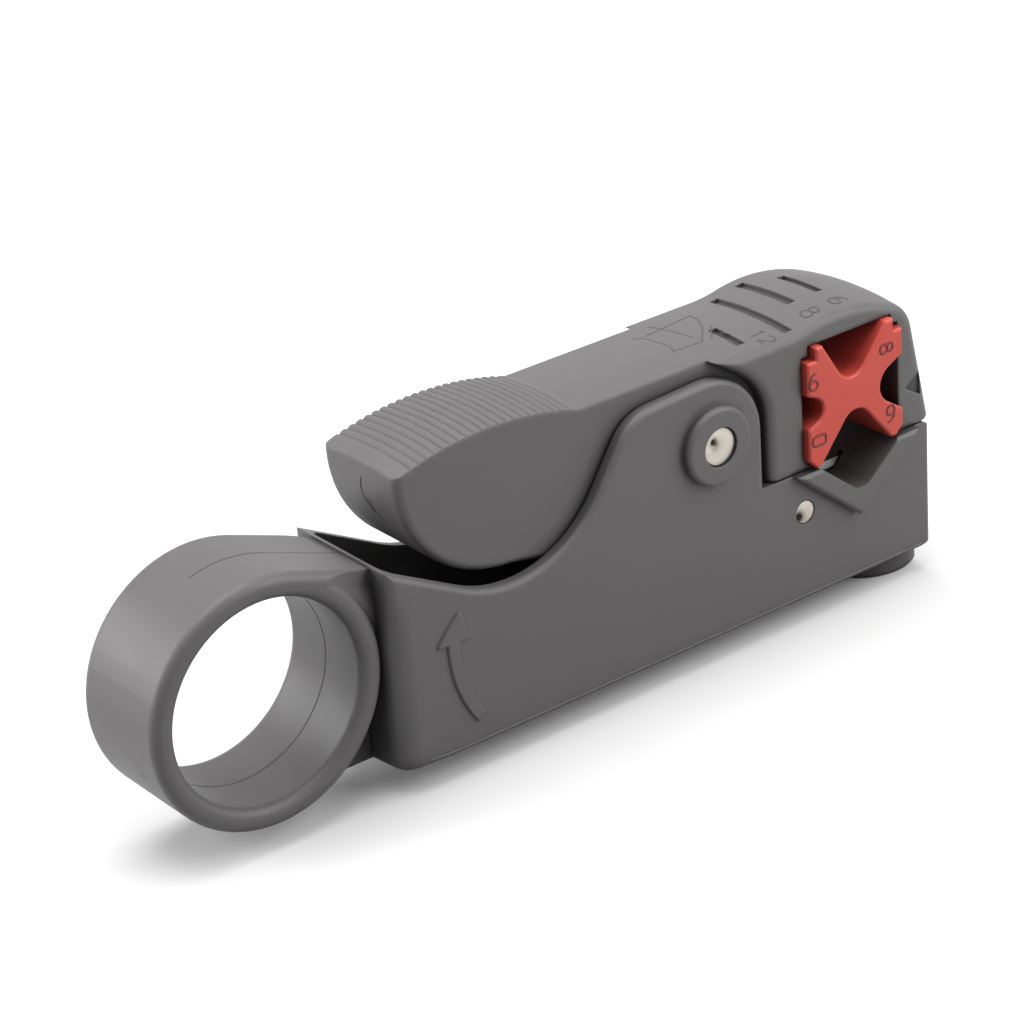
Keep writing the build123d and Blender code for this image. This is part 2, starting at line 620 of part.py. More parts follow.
def make_lever():
    """The lever moulding: pad, arm and jaw head in one piece."""
    lever = (pad_and_arm() & crown_solid()) + make_head()
    lever -= pad_cavity()
    lever += Pos(SPRING_X, 0, ARM_BOTTOM_Z - SPIGOT_LENGTH / 2) * Cylinder(SPIGOT_R, SPIGOT_LENGTH)
    lever -= across(window_outline(), HALF_BODY + 1)
    lever -= cross_cylinder(PIVOT_X, PIVOT_Z, PIVOT_PIN_R + RUN_FIT, -HALF_BODY, HALF_BODY)
    lever -= both_sides(pointer_mark())
    lever -= bar_groove(BLOCK_CENTRE_X - 14.0, -6.0, -1.2)
    lever -= bar_groove(BLOCK_CENTRE_X - 7.9, -7.0, 5.5)
    lever -= bar_groove(BLOCK_CENTRE_X - 3.7, -3.0, 5.9)
    lever -= bar_groove(BLOCK_CENTRE_X + 0.7, -2.8, 3.7)
    return lever


def notch(left, bottom, right, depth, radius):
    """One cable notch: a V with a round bottom that opens upwards, from left to right and deepest at bottom."""
    sketch = make_face(Polyline((left, 0), (bottom, -depth), (right, 0), close=True))
    sketch = fillet(sketch.vertices().sort_by(Axis.Y)[0], radius)
    return sketch + Pos((left + right) / 2, 0.5) * Rectangle(right - left, 1.0)


def make_block():
    """The selector block, with a notch of another size on each of its four sides."""
    half = BLOCK_SIDE / 2
    cut = BLOCK_CHAMFER
    key_x = half - BLOCK_KEY_WIDTH
    key_z = half - BLOCK_KEY_HEIGHT
    points = [
        (cut - half, -half),
        (half - cut, -half),
        (half, cut - half),
        (half, key_z),
        (key_x, key_z),
        (key_x, half),
        (-key_x, half),
        (-key_x, key_z),
        (-half, key_z),
        (-half, cut - half),
    ]
    face = make_face(Polyline(*points, close=True))
    face -= Pos(0, half) * notch(-4.9, -0.8, 4.7, 6.6, 2.2)
    face -= Pos(half, -0.3) * Rot(0, 0, -90) * notch(-2.9, 0, 3.9, 5.9, 2.4)
    face -= Pos(0, -half) * Rot(0, 0, 180) * notch(-5.4, 0, 5.5, 6.5, 2.2)
    face -= Pos(-half, -0.25) * Rot(0, 0, 90) * notch(-2.05, 0, 2.05, 4.7, 1.6)
    block = across(Pos(BLOCK_CENTRE_X, BLOCK_CENTRE_Z) * face, HALF_BLOCK)
    return chamfer(block.faces().filter_by(Axis.Y).edges(), BLOCK_EDGE)


def make_pivot_pin():
    """The pivot pin, chamfered at both ends, with a centre dimple in each."""
    half = HALF_BOSS - PIN_RECESS
    pin = cross_cylinder(PIVOT_X, PIVOT_Z, PIVOT_PIN_R, -half, half)
    pin = chamfer(pin.edges().filter_by(GeomType.CIRCLE), PIN_CHAMFER)
    for y in (-half, half):
        pin -= Pos(PIVOT_X, y, PIVOT_Z) * Sphere(PIN_DIMPLE_R)
    return pin


def make_blade_pin():
    """The pin that the blade carriers tilt on; it also keeps the holder in the body."""
    half = HALF_BODY - PIN_RECESS
    pin = cross_cylinder(BLADE_PIN_X, BLADE_PIN_Z, BLADE_PIN_R, -half, half)
    return chamfer(pin.edges().filter_by(GeomType.CIRCLE), PIN_CHAMFER)


def foot_sketch():
    """The foot in plan: round, and cut off flush with the front of the body."""
    return Pos(FOOT_X, 0) * Circle(FOOT_R) & Pos(BODY_FRONT_X - FOOT_R * 2, 0) * Rectangle(FOOT_R * 4, FOOT_R * 3)


def make_holder():
    """The blade holder: a block with two channels for the carriers, on a round foot with the screw holes."""
    holder = across(holder_outline(HOLDER_PLAY), HALF_HOLDER - HOLDER_PLAY)
    foot = extrude(Plane.XY.offset(FOOT_Z) * foot_sketch(), amount=FOOT_DROP)
    holder += fillet(foot.edges().group_by(Axis.Z)[0], FOOT_EDGE_R)
    channel_x = (BLADE_PIN_X - CARRIER_EYE_R - CARRIER_PLAY, CARRIER_END_X + 2 * CARRIER_PLAY)
    half = CARRIER_WIDTH / 2 + CARRIER_PLAY
    for y in (-BLADE_Y, BLADE_Y):
        holder -= box_between(channel_x, (y - half, y + half), (CHANNEL_FLOOR_Z, BODY_TOP_Z))
        holder -= Pos(SCREW_X, y, (FOOT_Z + CHANNEL_FLOOR_Z) / 2) * Cylinder(SCREW_R, CHANNEL_FLOOR_Z - FOOT_Z + 2)
    holder -= cross_cylinder(BLADE_PIN_X, BLADE_PIN_Z, BLADE_PIN_R + PRESS_FIT, -HALF_BODY, HALF_BODY)
    return holder


def make_carrier(y):
    """A carrier arm: an eye round the blade pin and a bar that the pad lifts, with a slot for the blade."""
    eye = Pos(BLADE_PIN_X, BLADE_PIN_Z) * Circle(CARRIER_EYE_R)
    stem_z = (CARRIER_BOTTOM_Z, BLADE_PIN_Z)
    stem = Pos(BLADE_PIN_X, sum(stem_z) / 2) * Rectangle(2 * CARRIER_EYE_R * 0.8, stem_z[1] - stem_z[0])
    bar_x = (BLADE_PIN_X - CARRIER_EYE_R * 0.8, CARRIER_END_X)
    bar = Pos(sum(bar_x) / 2, CARRIER_BOTTOM_Z + CARRIER_BAR / 2) * Rectangle(bar_x[1] - bar_x[0], CARRIER_BAR)
    hole = Pos(BLADE_PIN_X, BLADE_PIN_Z) * Circle(BLADE_PIN_R + RUN_FIT)
    half = CARRIER_WIDTH / 2
    carrier = side_prism(eye + stem + bar - hole, y - half, y + half)
    slot_x = (SEAT_X - BLADE_LENGTH / 2 - PRESS_FIT, SEAT_X + BLADE_LENGTH / 2 + PRESS_FIT)
    slot_half = BLADE_THICK / 2 + PRESS_FIT
    slot_y = (y - slot_half, y + slot_half)
    carrier -= box_between(slot_x, slot_y, (BLADE_BOTTOM_Z - PRESS_FIT, BODY_TOP_Z))
    dowel_z = (CARRIER_BOTTOM_Z + CARRIER_TOP_Z) / 2
    carrier -= cross_cylinder(SEAT_X, dowel_z, DOWEL_R + PRESS_FIT, y - half, y + half)
    return carrier


def make_blade(y):
    """A flat blade with a cutting edge ground from both sides along its top."""
    half = BLADE_THICK / 2
    edge = 0.03
    section = make_face(
        Polyline(
            (y - half, BLADE_BOTTOM_Z),
            (y + half, BLADE_BOTTOM_Z),
            (y + half, BLADE_TOP_Z - BLADE_BEVEL),
            (y + edge, BLADE_TOP_Z),
            (y - edge, BLADE_TOP_Z),
            (y - half, BLADE_TOP_Z - BLADE_BEVEL),
            close=True,
        )
    )
    blade = extrude(Plane.YZ.offset(SEAT_X - BLADE_LENGTH / 2) * section, amount=BLADE_LENGTH)
    dowel_z = (CARRIER_BOTTOM_Z + CARRIER_TOP_Z) / 2
    return blade - cross_cylinder(SEAT_X, dowel_z, DOWEL_R + PRESS_FIT, y - 1, y + 1)


def make_dowel(y):
    """The dowel that pins a blade in its carrier."""
    dowel_z = (CARRIER_BOTTOM_Z + CARRIER_TOP_Z) / 2
    half = CARRIER_WIDTH / 2
    return cross_cylinder(SEAT_X, dowel_z, DOWEL_R, y - half, y + half)


def make_screw(y):
    """An adjusting screw with a plain tip and a hexagon socket in its lower end."""
    low_z = FOOT_Z + SCREW_SINK
    shoulder_z = SCREW_TOP_Z - SCREW_TIP
    shank = extrude(Plane.XY.offset(low_z) * Circle(SCREW_R - RUN_FIT), amount=shoulder_z - low_z)
    tip = extrude(Plane.XY.offset(shoulder_z) * Circle(SCREW_TIP_R), amount=SCREW_TIP)
    hexagon = RegularPolygon(SOCKET_FLATS / 2, 6, major_radius=False)
    socket = extrude(Plane.XY.offset(low_z) * hexagon, amount=SOCKET_DEPTH)
    return Pos(SCREW_X, y, 0) * (shank + tip - socket)


def make_pad(y):
    """The pressure pad between a screw's tip and its carrier."""
    disc = extrude(Plane.XY.offset(PAD_TOP_FACE_Z - PAD_DISC) * Circle(PAD_DISC_R), amount=PAD_DISC)
    return Pos(SCREW_X, y, 0) * disc


def make_spring():
    """The return spring, a coil that stands between the body's floor and the lever's arm."""
    low_z = TROUGH_FLOOR_Z + SPRING_WIRE_R + SPRING_PLAY
    high_z = ARM_BOTTOM_Z - SPRING_WIRE_R - SPRING_PLAY
    height = high_z - low_z
    path = Helix(pitch=height / SPRING_TURNS, height=height, radius=SPRING_R)
    coil = sweep(Plane(origin=path @ 0, z_dir=path % 0) * Circle(SPRING_WIRE_R), path=path)
    return Pos(SPRING_X, 0, low_z) * coil


PARTS = {
    "body": make_body(),
    "lever": make_lever(),
    "selector_block": make_block(),
    "pivot_pin": make_pivot_pin(),
    "return_spring": make_spring(),
    "blade_holder": make_holder(),
    "blade_pin": make_blade_pin(),
}
for side, y in (("near", -BLADE_Y), ("far", BLADE_Y)):
    PARTS["blade_carrier_" + side] = make_carrier(y)
    PARTS["blade_" + side] = make_blade(y)
    PARTS["blade_dowel_" + side] = make_dowel(y)
    PARTS["adjust_screw_" + side] = make_screw(y)
    PARTS["pressure_pad_" + side] = make_pad(y)

for name, shape in PARTS.items():
    export_step(shape, "parts/" + name + ".step")
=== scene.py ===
"""Finish of the rotary coaxial cable stripper: moulded grey plastic, a red selector block, steel pins and
marks.

Everything is in metres, in the frame of the solids: the origin is the centre of the finger ring's bore, +X
runs to the jaw, +Y across the tool and +Z up. MM turns the drawing's millimetres into metres.
"""

import math

import bmesh
import bpy
import numpy as np
from mathutils import Matrix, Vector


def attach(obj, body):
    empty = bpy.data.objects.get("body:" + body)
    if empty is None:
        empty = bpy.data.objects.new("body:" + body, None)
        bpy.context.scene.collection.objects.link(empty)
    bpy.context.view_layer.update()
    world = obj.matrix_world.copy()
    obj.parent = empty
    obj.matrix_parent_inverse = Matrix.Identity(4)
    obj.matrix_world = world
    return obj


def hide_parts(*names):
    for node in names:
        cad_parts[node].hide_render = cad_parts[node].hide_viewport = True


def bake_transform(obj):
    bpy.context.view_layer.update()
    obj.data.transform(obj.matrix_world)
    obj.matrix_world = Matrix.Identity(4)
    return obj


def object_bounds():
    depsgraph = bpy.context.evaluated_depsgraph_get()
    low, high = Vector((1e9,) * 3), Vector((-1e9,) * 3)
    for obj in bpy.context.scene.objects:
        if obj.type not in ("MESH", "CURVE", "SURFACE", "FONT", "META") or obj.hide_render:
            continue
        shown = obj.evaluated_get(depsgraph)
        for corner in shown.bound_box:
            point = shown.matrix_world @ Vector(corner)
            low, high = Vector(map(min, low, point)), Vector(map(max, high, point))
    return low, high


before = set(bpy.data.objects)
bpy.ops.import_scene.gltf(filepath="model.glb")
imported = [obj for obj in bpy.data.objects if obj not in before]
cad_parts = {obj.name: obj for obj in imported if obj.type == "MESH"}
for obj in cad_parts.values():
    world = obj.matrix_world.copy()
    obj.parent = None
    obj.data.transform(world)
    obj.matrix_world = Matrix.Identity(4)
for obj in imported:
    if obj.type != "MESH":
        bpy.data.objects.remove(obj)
cad_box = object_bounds()
MM = 0.001

# Places on the tool, in millimetres
BODY_SIDE = 8.4
BLOCK_FACE = 9.4
BLOCK_X = 79.7
RING_BORE = 11.5
RING_OUTER = 14.2
STRAP_SLOPE_DEG = 20.0
PIVOT = (59.2, 10.0)
PIVOT_PIT = (-0.85, 0.75)
BLADE_PIN = (72.3, -2.9)
PAD_AXIS = (32.0, 18.6)
PAD_RADIUS = 14.15
PAD_INSIDE_RADIUS = 11.6
CROWN_AXIS_Z = -25.7
BAR_FLOOR_DEPTH = 0.40
POINTER_TIP = (88.2, 7.37)
BODY_BOTTOM = -14.3
SPRING_X, SPRING_LOW_Z, SPRING_HIGH_Z = 48.3, -11.38, 12.88
ARM_TOP_Z = 19.6
CROWN_TOP_Z = 20.4
CROWN_X = 78.2
CROWN_RADIUS = 23.0
RAMP_LENGTH = 8.0
FLOOR_Z = cad_box[0][2]

# Points closer than this, in metres, are one
WELD = 0.000002
# Edges that turn by more than this stay sharp
SHARP = math.radians(25)


# Node tree helpers
def new_material(name):
    """A material with an empty tree, and its tree."""
    material = bpy.data.materials.new(name)
    material.use_nodes = True
    material.node_tree.nodes.clear()
    return material, material.node_tree


def add_node(tree, kind, **values):
    """A node of that kind; values are its own settings or, with in_ before the name, its inputs."""
    node = tree.nodes.new(kind)
    for name, value in values.items():
        if name.startswith("in_"):
            node.inputs[name[3:].replace("_", " ")].default_value = value
        else:
            setattr(node, name, value)
    return node


def math_node(tree, operation, a, b=None, c=None, clamp=False):
    """A maths node whose operands are sockets or numbers; returns its output."""
    node = tree.nodes.new("ShaderNodeMath")
    node.operation = operation
    node.use_clamp = clamp
    for slot, value in zip(node.inputs, (a, b, c)):
        if value is None:
            continue
        if isinstance(value, (int, float)):
            slot.default_value = value
        else:
            tree.links.new(value, slot)
    return node.outputs[0]


def mix_colour(tree, factor, a, b, mode="MIX"):
    """Mixes two colours, each a socket or a plain colour; returns the result's socket."""
    node = tree.nodes.new("ShaderNodeMix")
    node.data_type = "RGBA"
    node.blend_type = mode
    for name, value in ((0, factor), (6, a), (7, b)):
        if isinstance(value, (int, float, tuple)):
            node.inputs[name].default_value = value
        else:
            tree.links.new(value, node.inputs[name])
    return node.outputs[2]


def group_tree(name, inputs, outputs):
    """An empty shader group with named sockets: (name, kind, default) in, (name, kind) out."""
    tree = bpy.data.node_groups.new(name, "ShaderNodeTree")
    for label, kind, default in inputs:
        socket = tree.interface.new_socket(name=label, in_out="INPUT", socket_type=kind)
        socket.default_value = default
    for label, kind in outputs:
        tree.interface.new_socket(name=label, in_out="OUTPUT", socket_type=kind)
    return tree, tree.nodes.new("NodeGroupInput"), tree.nodes.new("NodeGroupOutput")


def use_group(tree, group, **values):
    """Places a group in a tree with its own values."""
    node = tree.nodes.new("ShaderNodeGroup")
    node.node_tree = group
    for name, value in values.items():
        node.inputs[name.replace("_", " ")].default_value = value
    return node


# Shared effects
def moulded_grain():
    """Fine spark-eroded grain with slow mottling: colour multiplier, roughness offset and height."""
    tree, entry, exit_ = group_tree(
        "moulded grain",
        [
            ("Colour", "NodeSocketColor", (0.5, 0.5, 0.5, 1)),
            ("Grain scale", "NodeSocketFloat", 3500.0),
            ("Mottle", "NodeSocketFloat", 0.08),
            ("Base roughness", "NodeSocketFloat", 0.5),
        ],
        [("Colour", "NodeSocketColor"), ("Roughness", "NodeSocketFloat"), ("Height", "NodeSocketFloat")],
    )
    place = add_node(tree, "ShaderNodeTexCoord").outputs["Object"]
    fine = add_node(tree, "ShaderNodeTexNoise", in_Detail=3.0, in_Roughness=0.6)
    tree.links.new(place, fine.inputs["Vector"])
    tree.links.new(entry.outputs["Grain scale"], fine.inputs["Scale"])
    slow = add_node(tree, "ShaderNodeTexNoise", in_Scale=90.0, in_Detail=4.0, in_Roughness=0.55)
    tree.links.new(place, slow.inputs["Vector"])
    centred = math_node(tree, "SUBTRACT", slow.outputs[0], 0.5)
    fine_centred = math_node(tree, "SUBTRACT", fine.outputs[0], 0.5)
    both = math_node(tree, "ADD", centred, math_node(tree, "MULTIPLY", fine_centred, 0.6))
    shade = math_node(tree, "MULTIPLY_ADD", both, entry.outputs["Mottle"], 1.0)
    grey = add_node(tree, "ShaderNodeCombineColor")
    for n in range(3):
        tree.links.new(shade, grey.inputs[n])
    mottled = mix_colour(tree, 1.0, entry.outputs["Colour"], grey.outputs[0], "MULTIPLY")
    tree.links.new(mottled, exit_.inputs["Colour"])
    rough = math_node(tree, "MULTIPLY_ADD", centred, 0.25, entry.outputs["Base roughness"], clamp=True)
    tree.links.new(rough, exit_.inputs["Roughness"])
    tree.links.new(fine.outputs[0], exit_.inputs["Height"])
    return tree


def edge_wear():
    """Rounds sharp edges in the shading and gives a mask that is 1 along them, broken up by noise."""
    tree, entry, exit_ = group_tree(
        "edge wear",
        [("Radius", "NodeSocketFloat", 0.0003), ("Amount", "NodeSocketFloat", 0.5)],
        [("Normal", "NodeSocketVector"), ("Mask", "NodeSocketFloat")],
    )
    bevel = add_node(tree, "ShaderNodeBevel", samples=6)
    tree.links.new(entry.outputs["Radius"], bevel.inputs["Radius"])
    geometry = add_node(tree, "ShaderNodeNewGeometry")
    dot = add_node(tree, "ShaderNodeVectorMath", operation="DOT_PRODUCT")
    tree.links.new(bevel.outputs[0], dot.inputs[0])
    tree.links.new(geometry.outputs["Normal"], dot.inputs[1])
    turned = math_node(tree, "SUBTRACT", 1.0, dot.outputs["Value"])
    sharp = math_node(tree, "MULTIPLY", turned, 9.0, clamp=True)
    place = add_node(tree, "ShaderNodeTexCoord").outputs["Object"]
    noise = add_node(tree, "ShaderNodeTexNoise", in_Scale=420.0, in_Detail=5.0, in_Roughness=0.7)
    tree.links.new(place, noise.inputs["Vector"])
    broken = math_node(tree, "MULTIPLY_ADD", noise.outputs[0], 2.4, -0.75, clamp=True)
    patchy = math_node(tree, "MULTIPLY", sharp, broken)
    mask = math_node(tree, "MULTIPLY", patchy, entry.outputs["Amount"])
    tree.links.new(mask, exit_.inputs["Mask"])
    tree.links.new(bevel.outputs[0], exit_.inputs["Normal"])
    return tree


def painted_crevice_shade():
    """Painted shade: gives 1 where the surface faces close walls and 0 in the open, with a soft step between
    the two limits; the finishes darken their colour by it."""
    tree, entry, exit_ = group_tree(
        "painted crevice shade",
        [
            ("Near reach", "NodeSocketFloat", 0.0025),
            ("Far reach", "NodeSocketFloat", 0.010),
            ("Amount", "NodeSocketFloat", 0.7),
        ],
        [("Mask", "NodeSocketFloat")],
    )
    masks = []
    for name, opened, closed in (("Near reach", 0.80, 0.30), ("Far reach", 0.62, 0.20)):
        shade = add_node(tree, "ShaderNodeAmbientOcclusion", samples=6)
        tree.links.new(entry.outputs[name], shade.inputs["Distance"])
        short = math_node(tree, "SUBTRACT", opened, shade.outputs["AO"])
        masks.append(math_node(tree, "DIVIDE", short, opened - closed, clamp=True))
    open_near, open_far = [math_node(tree, "SUBTRACT", 1.0, mask) for mask in masks]
    clear = math_node(tree, "MULTIPLY", open_near, open_far)
    mask = math_node(tree, "MULTIPLY", math_node(tree, "SUBTRACT", 1.0, clear), entry.outputs["Amount"])
    tree.links.new(mask, exit_.inputs["Mask"])
    return tree


GRAIN = moulded_grain()
WEAR = edge_wear()
# Painted shade in crevices, taken from ambient occlusion
CREVICE_SHADE = painted_crevice_shade()


def moulded_plastic(name, colour, worn, deep, roughness, mottle, grain_bump, radius, painted_shade):
    """Moulded plastic: grain, mottling, edges rounded and polished lighter, and crevices darkened with
    painted shade.
    """
    material, tree = new_material(name)
    shader = add_node(tree, "ShaderNodeBsdfPrincipled")
    shader.inputs["IOR"].default_value = 1.5
    shader.inputs["Specular IOR Level"].default_value = 0.42
    grain = use_group(tree, GRAIN, Colour=colour, Mottle=mottle, Base_roughness=roughness)
    wear = use_group(tree, WEAR, Radius=radius, Amount=0.45)
    crevice = use_group(tree, CREVICE_SHADE, Amount=painted_shade)
    worn_colour = mix_colour(tree, wear.outputs["Mask"], grain.outputs["Colour"], worn)
    # Painted shade: the deep colour is mixed in where close walls would shade the surface
    shaded = mix_colour(tree, crevice.outputs["Mask"], worn_colour, deep)
    tree.links.new(shaded, shader.inputs["Base Color"])
    smooth = math_node(tree, "MULTIPLY_ADD", wear.outputs["Mask"], -0.12, grain.outputs["Roughness"])
    dulled = math_node(tree, "MULTIPLY_ADD", crevice.outputs["Mask"], 0.3, smooth, clamp=True)
    tree.links.new(dulled, shader.inputs["Roughness"])
    bump = add_node(tree, "ShaderNodeBump", in_Strength=grain_bump, in_Distance=0.00002)
    tree.links.new(grain.outputs["Height"], bump.inputs["Height"])
    tree.links.new(wear.outputs["Normal"], bump.inputs["Normal"])
    tree.links.new(bump.outputs[0], shader.inputs["Normal"])
    out = add_node(tree, "ShaderNodeOutputMaterial")
    tree.links.new(shader.outputs[0], out.inputs[0])
    return material


def turned_metal(name, colour, roughness, axis):
    """Metal with fine turning rings round an axis, a little dulled in patches; painted shade darkens its
    crevices and the shaded parts of the pins' ends.
    """
    material, tree = new_material(name)
    shader = add_node(tree, "ShaderNodeBsdfPrincipled")
    shader.inputs["Metallic"].default_value = 1.0
    place = add_node(tree, "ShaderNodeTexCoord").outputs["Object"]
    stretch = add_node(tree, "ShaderNodeMapping")
    stretch.inputs["Scale"].default_value = axis
    tree.links.new(place, stretch.inputs["Vector"])
    rings = add_node(tree, "ShaderNodeTexNoise", in_Scale=2500.0, in_Detail=4.0, in_Roughness=0.7)
    tree.links.new(stretch.outputs[0], rings.inputs["Vector"])
    dull = add_node(tree, "ShaderNodeTexNoise", in_Scale=600.0, in_Detail=3.0)
    tree.links.new(place, dull.inputs["Vector"])
    dark = tuple(c * 0.62 for c in colour[:3]) + (1,)
    clean = mix_colour(tree, dull.outputs[0], dark, colour)
    # Painted shade: crevices and the pins' stored shade darken the colour
    crevice = use_group(tree, CREVICE_SHADE, Amount=0.85, Near_reach=0.0008, Far_reach=0.004)
    painted_pit_shade = add_node(tree, "ShaderNodeAttribute", attribute_name="painted_pit_shade")
    shade_mask = math_node(tree, "MAXIMUM", crevice.outputs["Mask"], painted_pit_shade.outputs["Fac"])
    tree.links.new(mix_colour(tree, shade_mask, clean, (0.02, 0.016, 0.012, 1)), shader.inputs["Base Color"])
    rough = math_node(tree, "MULTIPLY_ADD", dull.outputs[0], 0.25, roughness, clamp=True)
    tree.links.new(rough, shader.inputs["Roughness"])
    bump = add_node(tree, "ShaderNodeBump", in_Strength=0.25, in_Distance=0.00001)
    tree.links.new(rings.outputs[0], bump.inputs["Height"])
    tree.links.new(bump.outputs[0], shader.inputs["Normal"])
    out = add_node(tree, "ShaderNodeOutputMaterial")
    tree.links.new(shader.outputs[0], out.inputs[0])
    return material


def moulded_grey(name, roughness, radius):
    """The grey of body and lever; its uses differ in gloss and in how far their edges are rounded."""
    # deep is the painted shade colour of the grey's crevices
    return moulded_plastic(
        name, colour=(0.122, 0.117, 0.117, 1), worn=(0.20, 0.19, 0.19, 1), deep=(0.008, 0.0065, 0.006, 1),
        roughness=roughness, mottle=0.10, grain_bump=0.30, radius=radius, painted_shade=0.92,
    )


# Finishes
GREY = moulded_grey("moulded grey", roughness=0.44, radius=0.00032)
GREY_LEVER = moulded_grey("moulded grey lever", roughness=0.46, radius=0.00070)
GREY_FLUSH = moulded_grey("moulded grey flush", roughness=0.45, radius=0.00003)
# In each finish below, deep is the painted shade colour laid into its crevices
GREY_RECESS = moulded_plastic(
    "stippled recess grey",
    colour=(0.062, 0.060, 0.061, 1), worn=(0.10, 0.098, 0.098, 1), deep=(0.02, 0.019, 0.018, 1),
    roughness=0.60, mottle=0.25, grain_bump=0.60, radius=0.00010, painted_shade=0.5,
)
# Lighter grey: real scuffs on the ring, and painted highlight along the body's lower edges
SCUFF_AND_HIGHLIGHT = moulded_plastic(
    "scuffed grey and painted highlight",
    colour=(0.24, 0.225, 0.22, 1), worn=(0.32, 0.30, 0.30, 1), deep=(0.05, 0.047, 0.045, 1),
    roughness=0.55, mottle=0.20, grain_bump=0.40, radius=0.00005, painted_shade=0.2,
)
RED = moulded_plastic(
    "moulded red",
    colour=(0.66, 0.080, 0.058, 1), worn=(0.74, 0.20, 0.16, 1), deep=(0.14, 0.008, 0.006, 1),
    roughness=0.42, mottle=0.06, grain_bump=0.18, radius=0.00030, painted_shade=0.65,
)
GREY_MARK = moulded_plastic(
    "raised grey marks",
    colour=(0.075, 0.072, 0.073, 1), worn=(0.16, 0.15, 0.15, 1), deep=(0.03, 0.028, 0.027, 1),
    roughness=0.50, mottle=0.08, grain_bump=0.20, radius=0.00005, painted_shade=0.3,
)
RED_MARK = moulded_plastic(
    "raised red marks",
    colour=(0.17, 0.020, 0.018, 1), worn=(0.40, 0.07, 0.05, 1), deep=(0.10, 0.008, 0.006, 1),
    roughness=0.48, mottle=0.06, grain_bump=0.20, radius=0.00005, painted_shade=0.3,
)
PIN_STEEL = turned_metal("turned pin steel", (0.58, 0.535, 0.475, 1), 0.30, (1, 0.05, 1))
ARM_STEEL = turned_metal("carrier steel", (0.36, 0.36, 0.37, 1), 0.34, (0.05, 1, 1))
BLADE_STEEL = turned_metal("ground blade steel", (0.62, 0.63, 0.65, 1), 0.18, (0.05, 1, 1))
WIRE_STEEL = turned_metal("spring wire", (0.42, 0.41, 0.40, 1), 0.30, (1, 1, 0.05))
DARK_STEEL = turned_metal("blackened screw steel", (0.05, 0.05, 0.052, 1), 0.36, (1, 1, 0.05))
BRASS = turned_metal("turned brass", (0.66, 0.47, 0.20, 1), 0.28, (1, 1, 0.05))


def give(node, material):
    """Gives a solid its finish in every slot."""
    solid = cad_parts[node]
    if not solid.data.materials:
        solid.data.materials.append(material)
    for n in range(len(solid.material_slots)):
        solid.material_slots[n].material = material


for node in ("body", "blade_holder"):
    give(node, GREY)
give("lever", GREY_LEVER)
give("selector_block", RED)
give("pivot_pin", PIN_STEEL)
give("blade_pin", PIN_STEEL)
give("return_spring", WIRE_STEEL)
for side in ("near", "far"):
    give("blade_carrier_" + side, ARM_STEEL)
    give("blade_" + side, BLADE_STEEL)
    give("blade_dowel_" + side, PIN_STEEL)
    give("adjust_screw_" + side, DARK_STEEL)
    give("pressure_pad_" + side, BRASS)


# Surfaces worked out on grids
def build(name, sheets, material, body):
    """Makes one mesh of grids of points and lets it ride on a body. Each sheet is a grid in millimetres,
    whether its rows close and whether its columns close."""
    points, quads, start = [], [], 0
    for grid, rows_closed, columns_closed in sheets:
        rows, columns = grid.shape[:2]
        index = np.arange(rows * columns).reshape(rows, columns) + start
        if rows_closed:
            index = np.concatenate([index, index[:1]], axis=0)
        if columns_closed:
            index = np.concatenate([index, index[:, :1]], axis=1)
        corners = (index[:-1, :-1], index[1:, :-1], index[1:, 1:], index[:-1, 1:])
        quads.append(np.stack(corners, axis=-1).reshape(-1, 4))
        points.append(grid.reshape(-1, 3) * MM)
        start += rows * columns
    mesh = bpy.data.meshes.new(name)
    mesh.from_pydata(np.concatenate(points).tolist(), [], np.concatenate(quads).tolist())
    shell = bmesh.new()
    shell.from_mesh(mesh)
    bmesh.ops.remove_doubles(shell, verts=shell.verts, dist=WELD)
    bmesh.ops.dissolve_degenerate(shell, edges=shell.edges, dist=WELD)
    bmesh.ops.recalc_face_normals(shell, faces=shell.faces)
    shell.to_mesh(mesh)
    shell.free()
    mesh.polygons.foreach_set("use_smooth", np.ones(len(mesh.polygons), dtype=bool))
    mesh.materials.append(material)
    piece = bpy.data.objects.new(name, mesh)
    bpy.context.scene.collection.objects.link(piece)
    if body is not None:
        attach(piece, body)
    return piece


def capped(grid):
    """Closes both ends of a tube of points by drawing a last ring together in its own middle."""
    first = np.broadcast_to(grid[:1].mean(axis=1, keepdims=True), grid[:1].shape)
    last = np.broadcast_to(grid[-1:].mean(axis=1, keepdims=True), grid[-1:].shape)
    return np.concatenate([first, grid, last])


def bead(path, outward, width, height, closed=False):
    """A raised line: an oval section carried along a path, its lower half sunk and flattened.

    Each point is the path's, moved across by half the width times the cosine of an angle that goes once
    round, and outward by the height times its sine. On an open path the section shrinks to nothing at both
    ends, as a quarter circle does over one width.
    """
    path = np.asarray(path, float)
    outward = np.broadcast_to(np.asarray(outward, float), path.shape)
    if closed:
        along = np.roll(path, -1, axis=0) - np.roll(path, 1, axis=0)
        size = np.ones(len(path))
    else:
        along = np.gradient(path, axis=0)
        step = np.linalg.norm(np.diff(path, axis=0), axis=1)
        gone = np.concatenate([[0.0], np.cumsum(step)])
        near_end = np.clip(np.minimum(gone, gone[-1] - gone) / width, 0, 1)
        size = np.sqrt(1 - (1 - near_end) ** 2)
    across = np.cross(outward, along)
    across /= np.linalg.norm(across, axis=1, keepdims=True)
    angle = np.linspace(0, 2 * np.pi, 10, endpoint=False)
    up = np.where(np.sin(angle) > 0, np.sin(angle), 0.6 * np.sin(angle))
    side = (size[:, None] * np.cos(angle) * width / 2)[..., None] * across[:, None, :]
    lift = (size[:, None] * up * height)[..., None] * outward[:, None, :]
    return path[:, None, :] + side + lift, closed, True


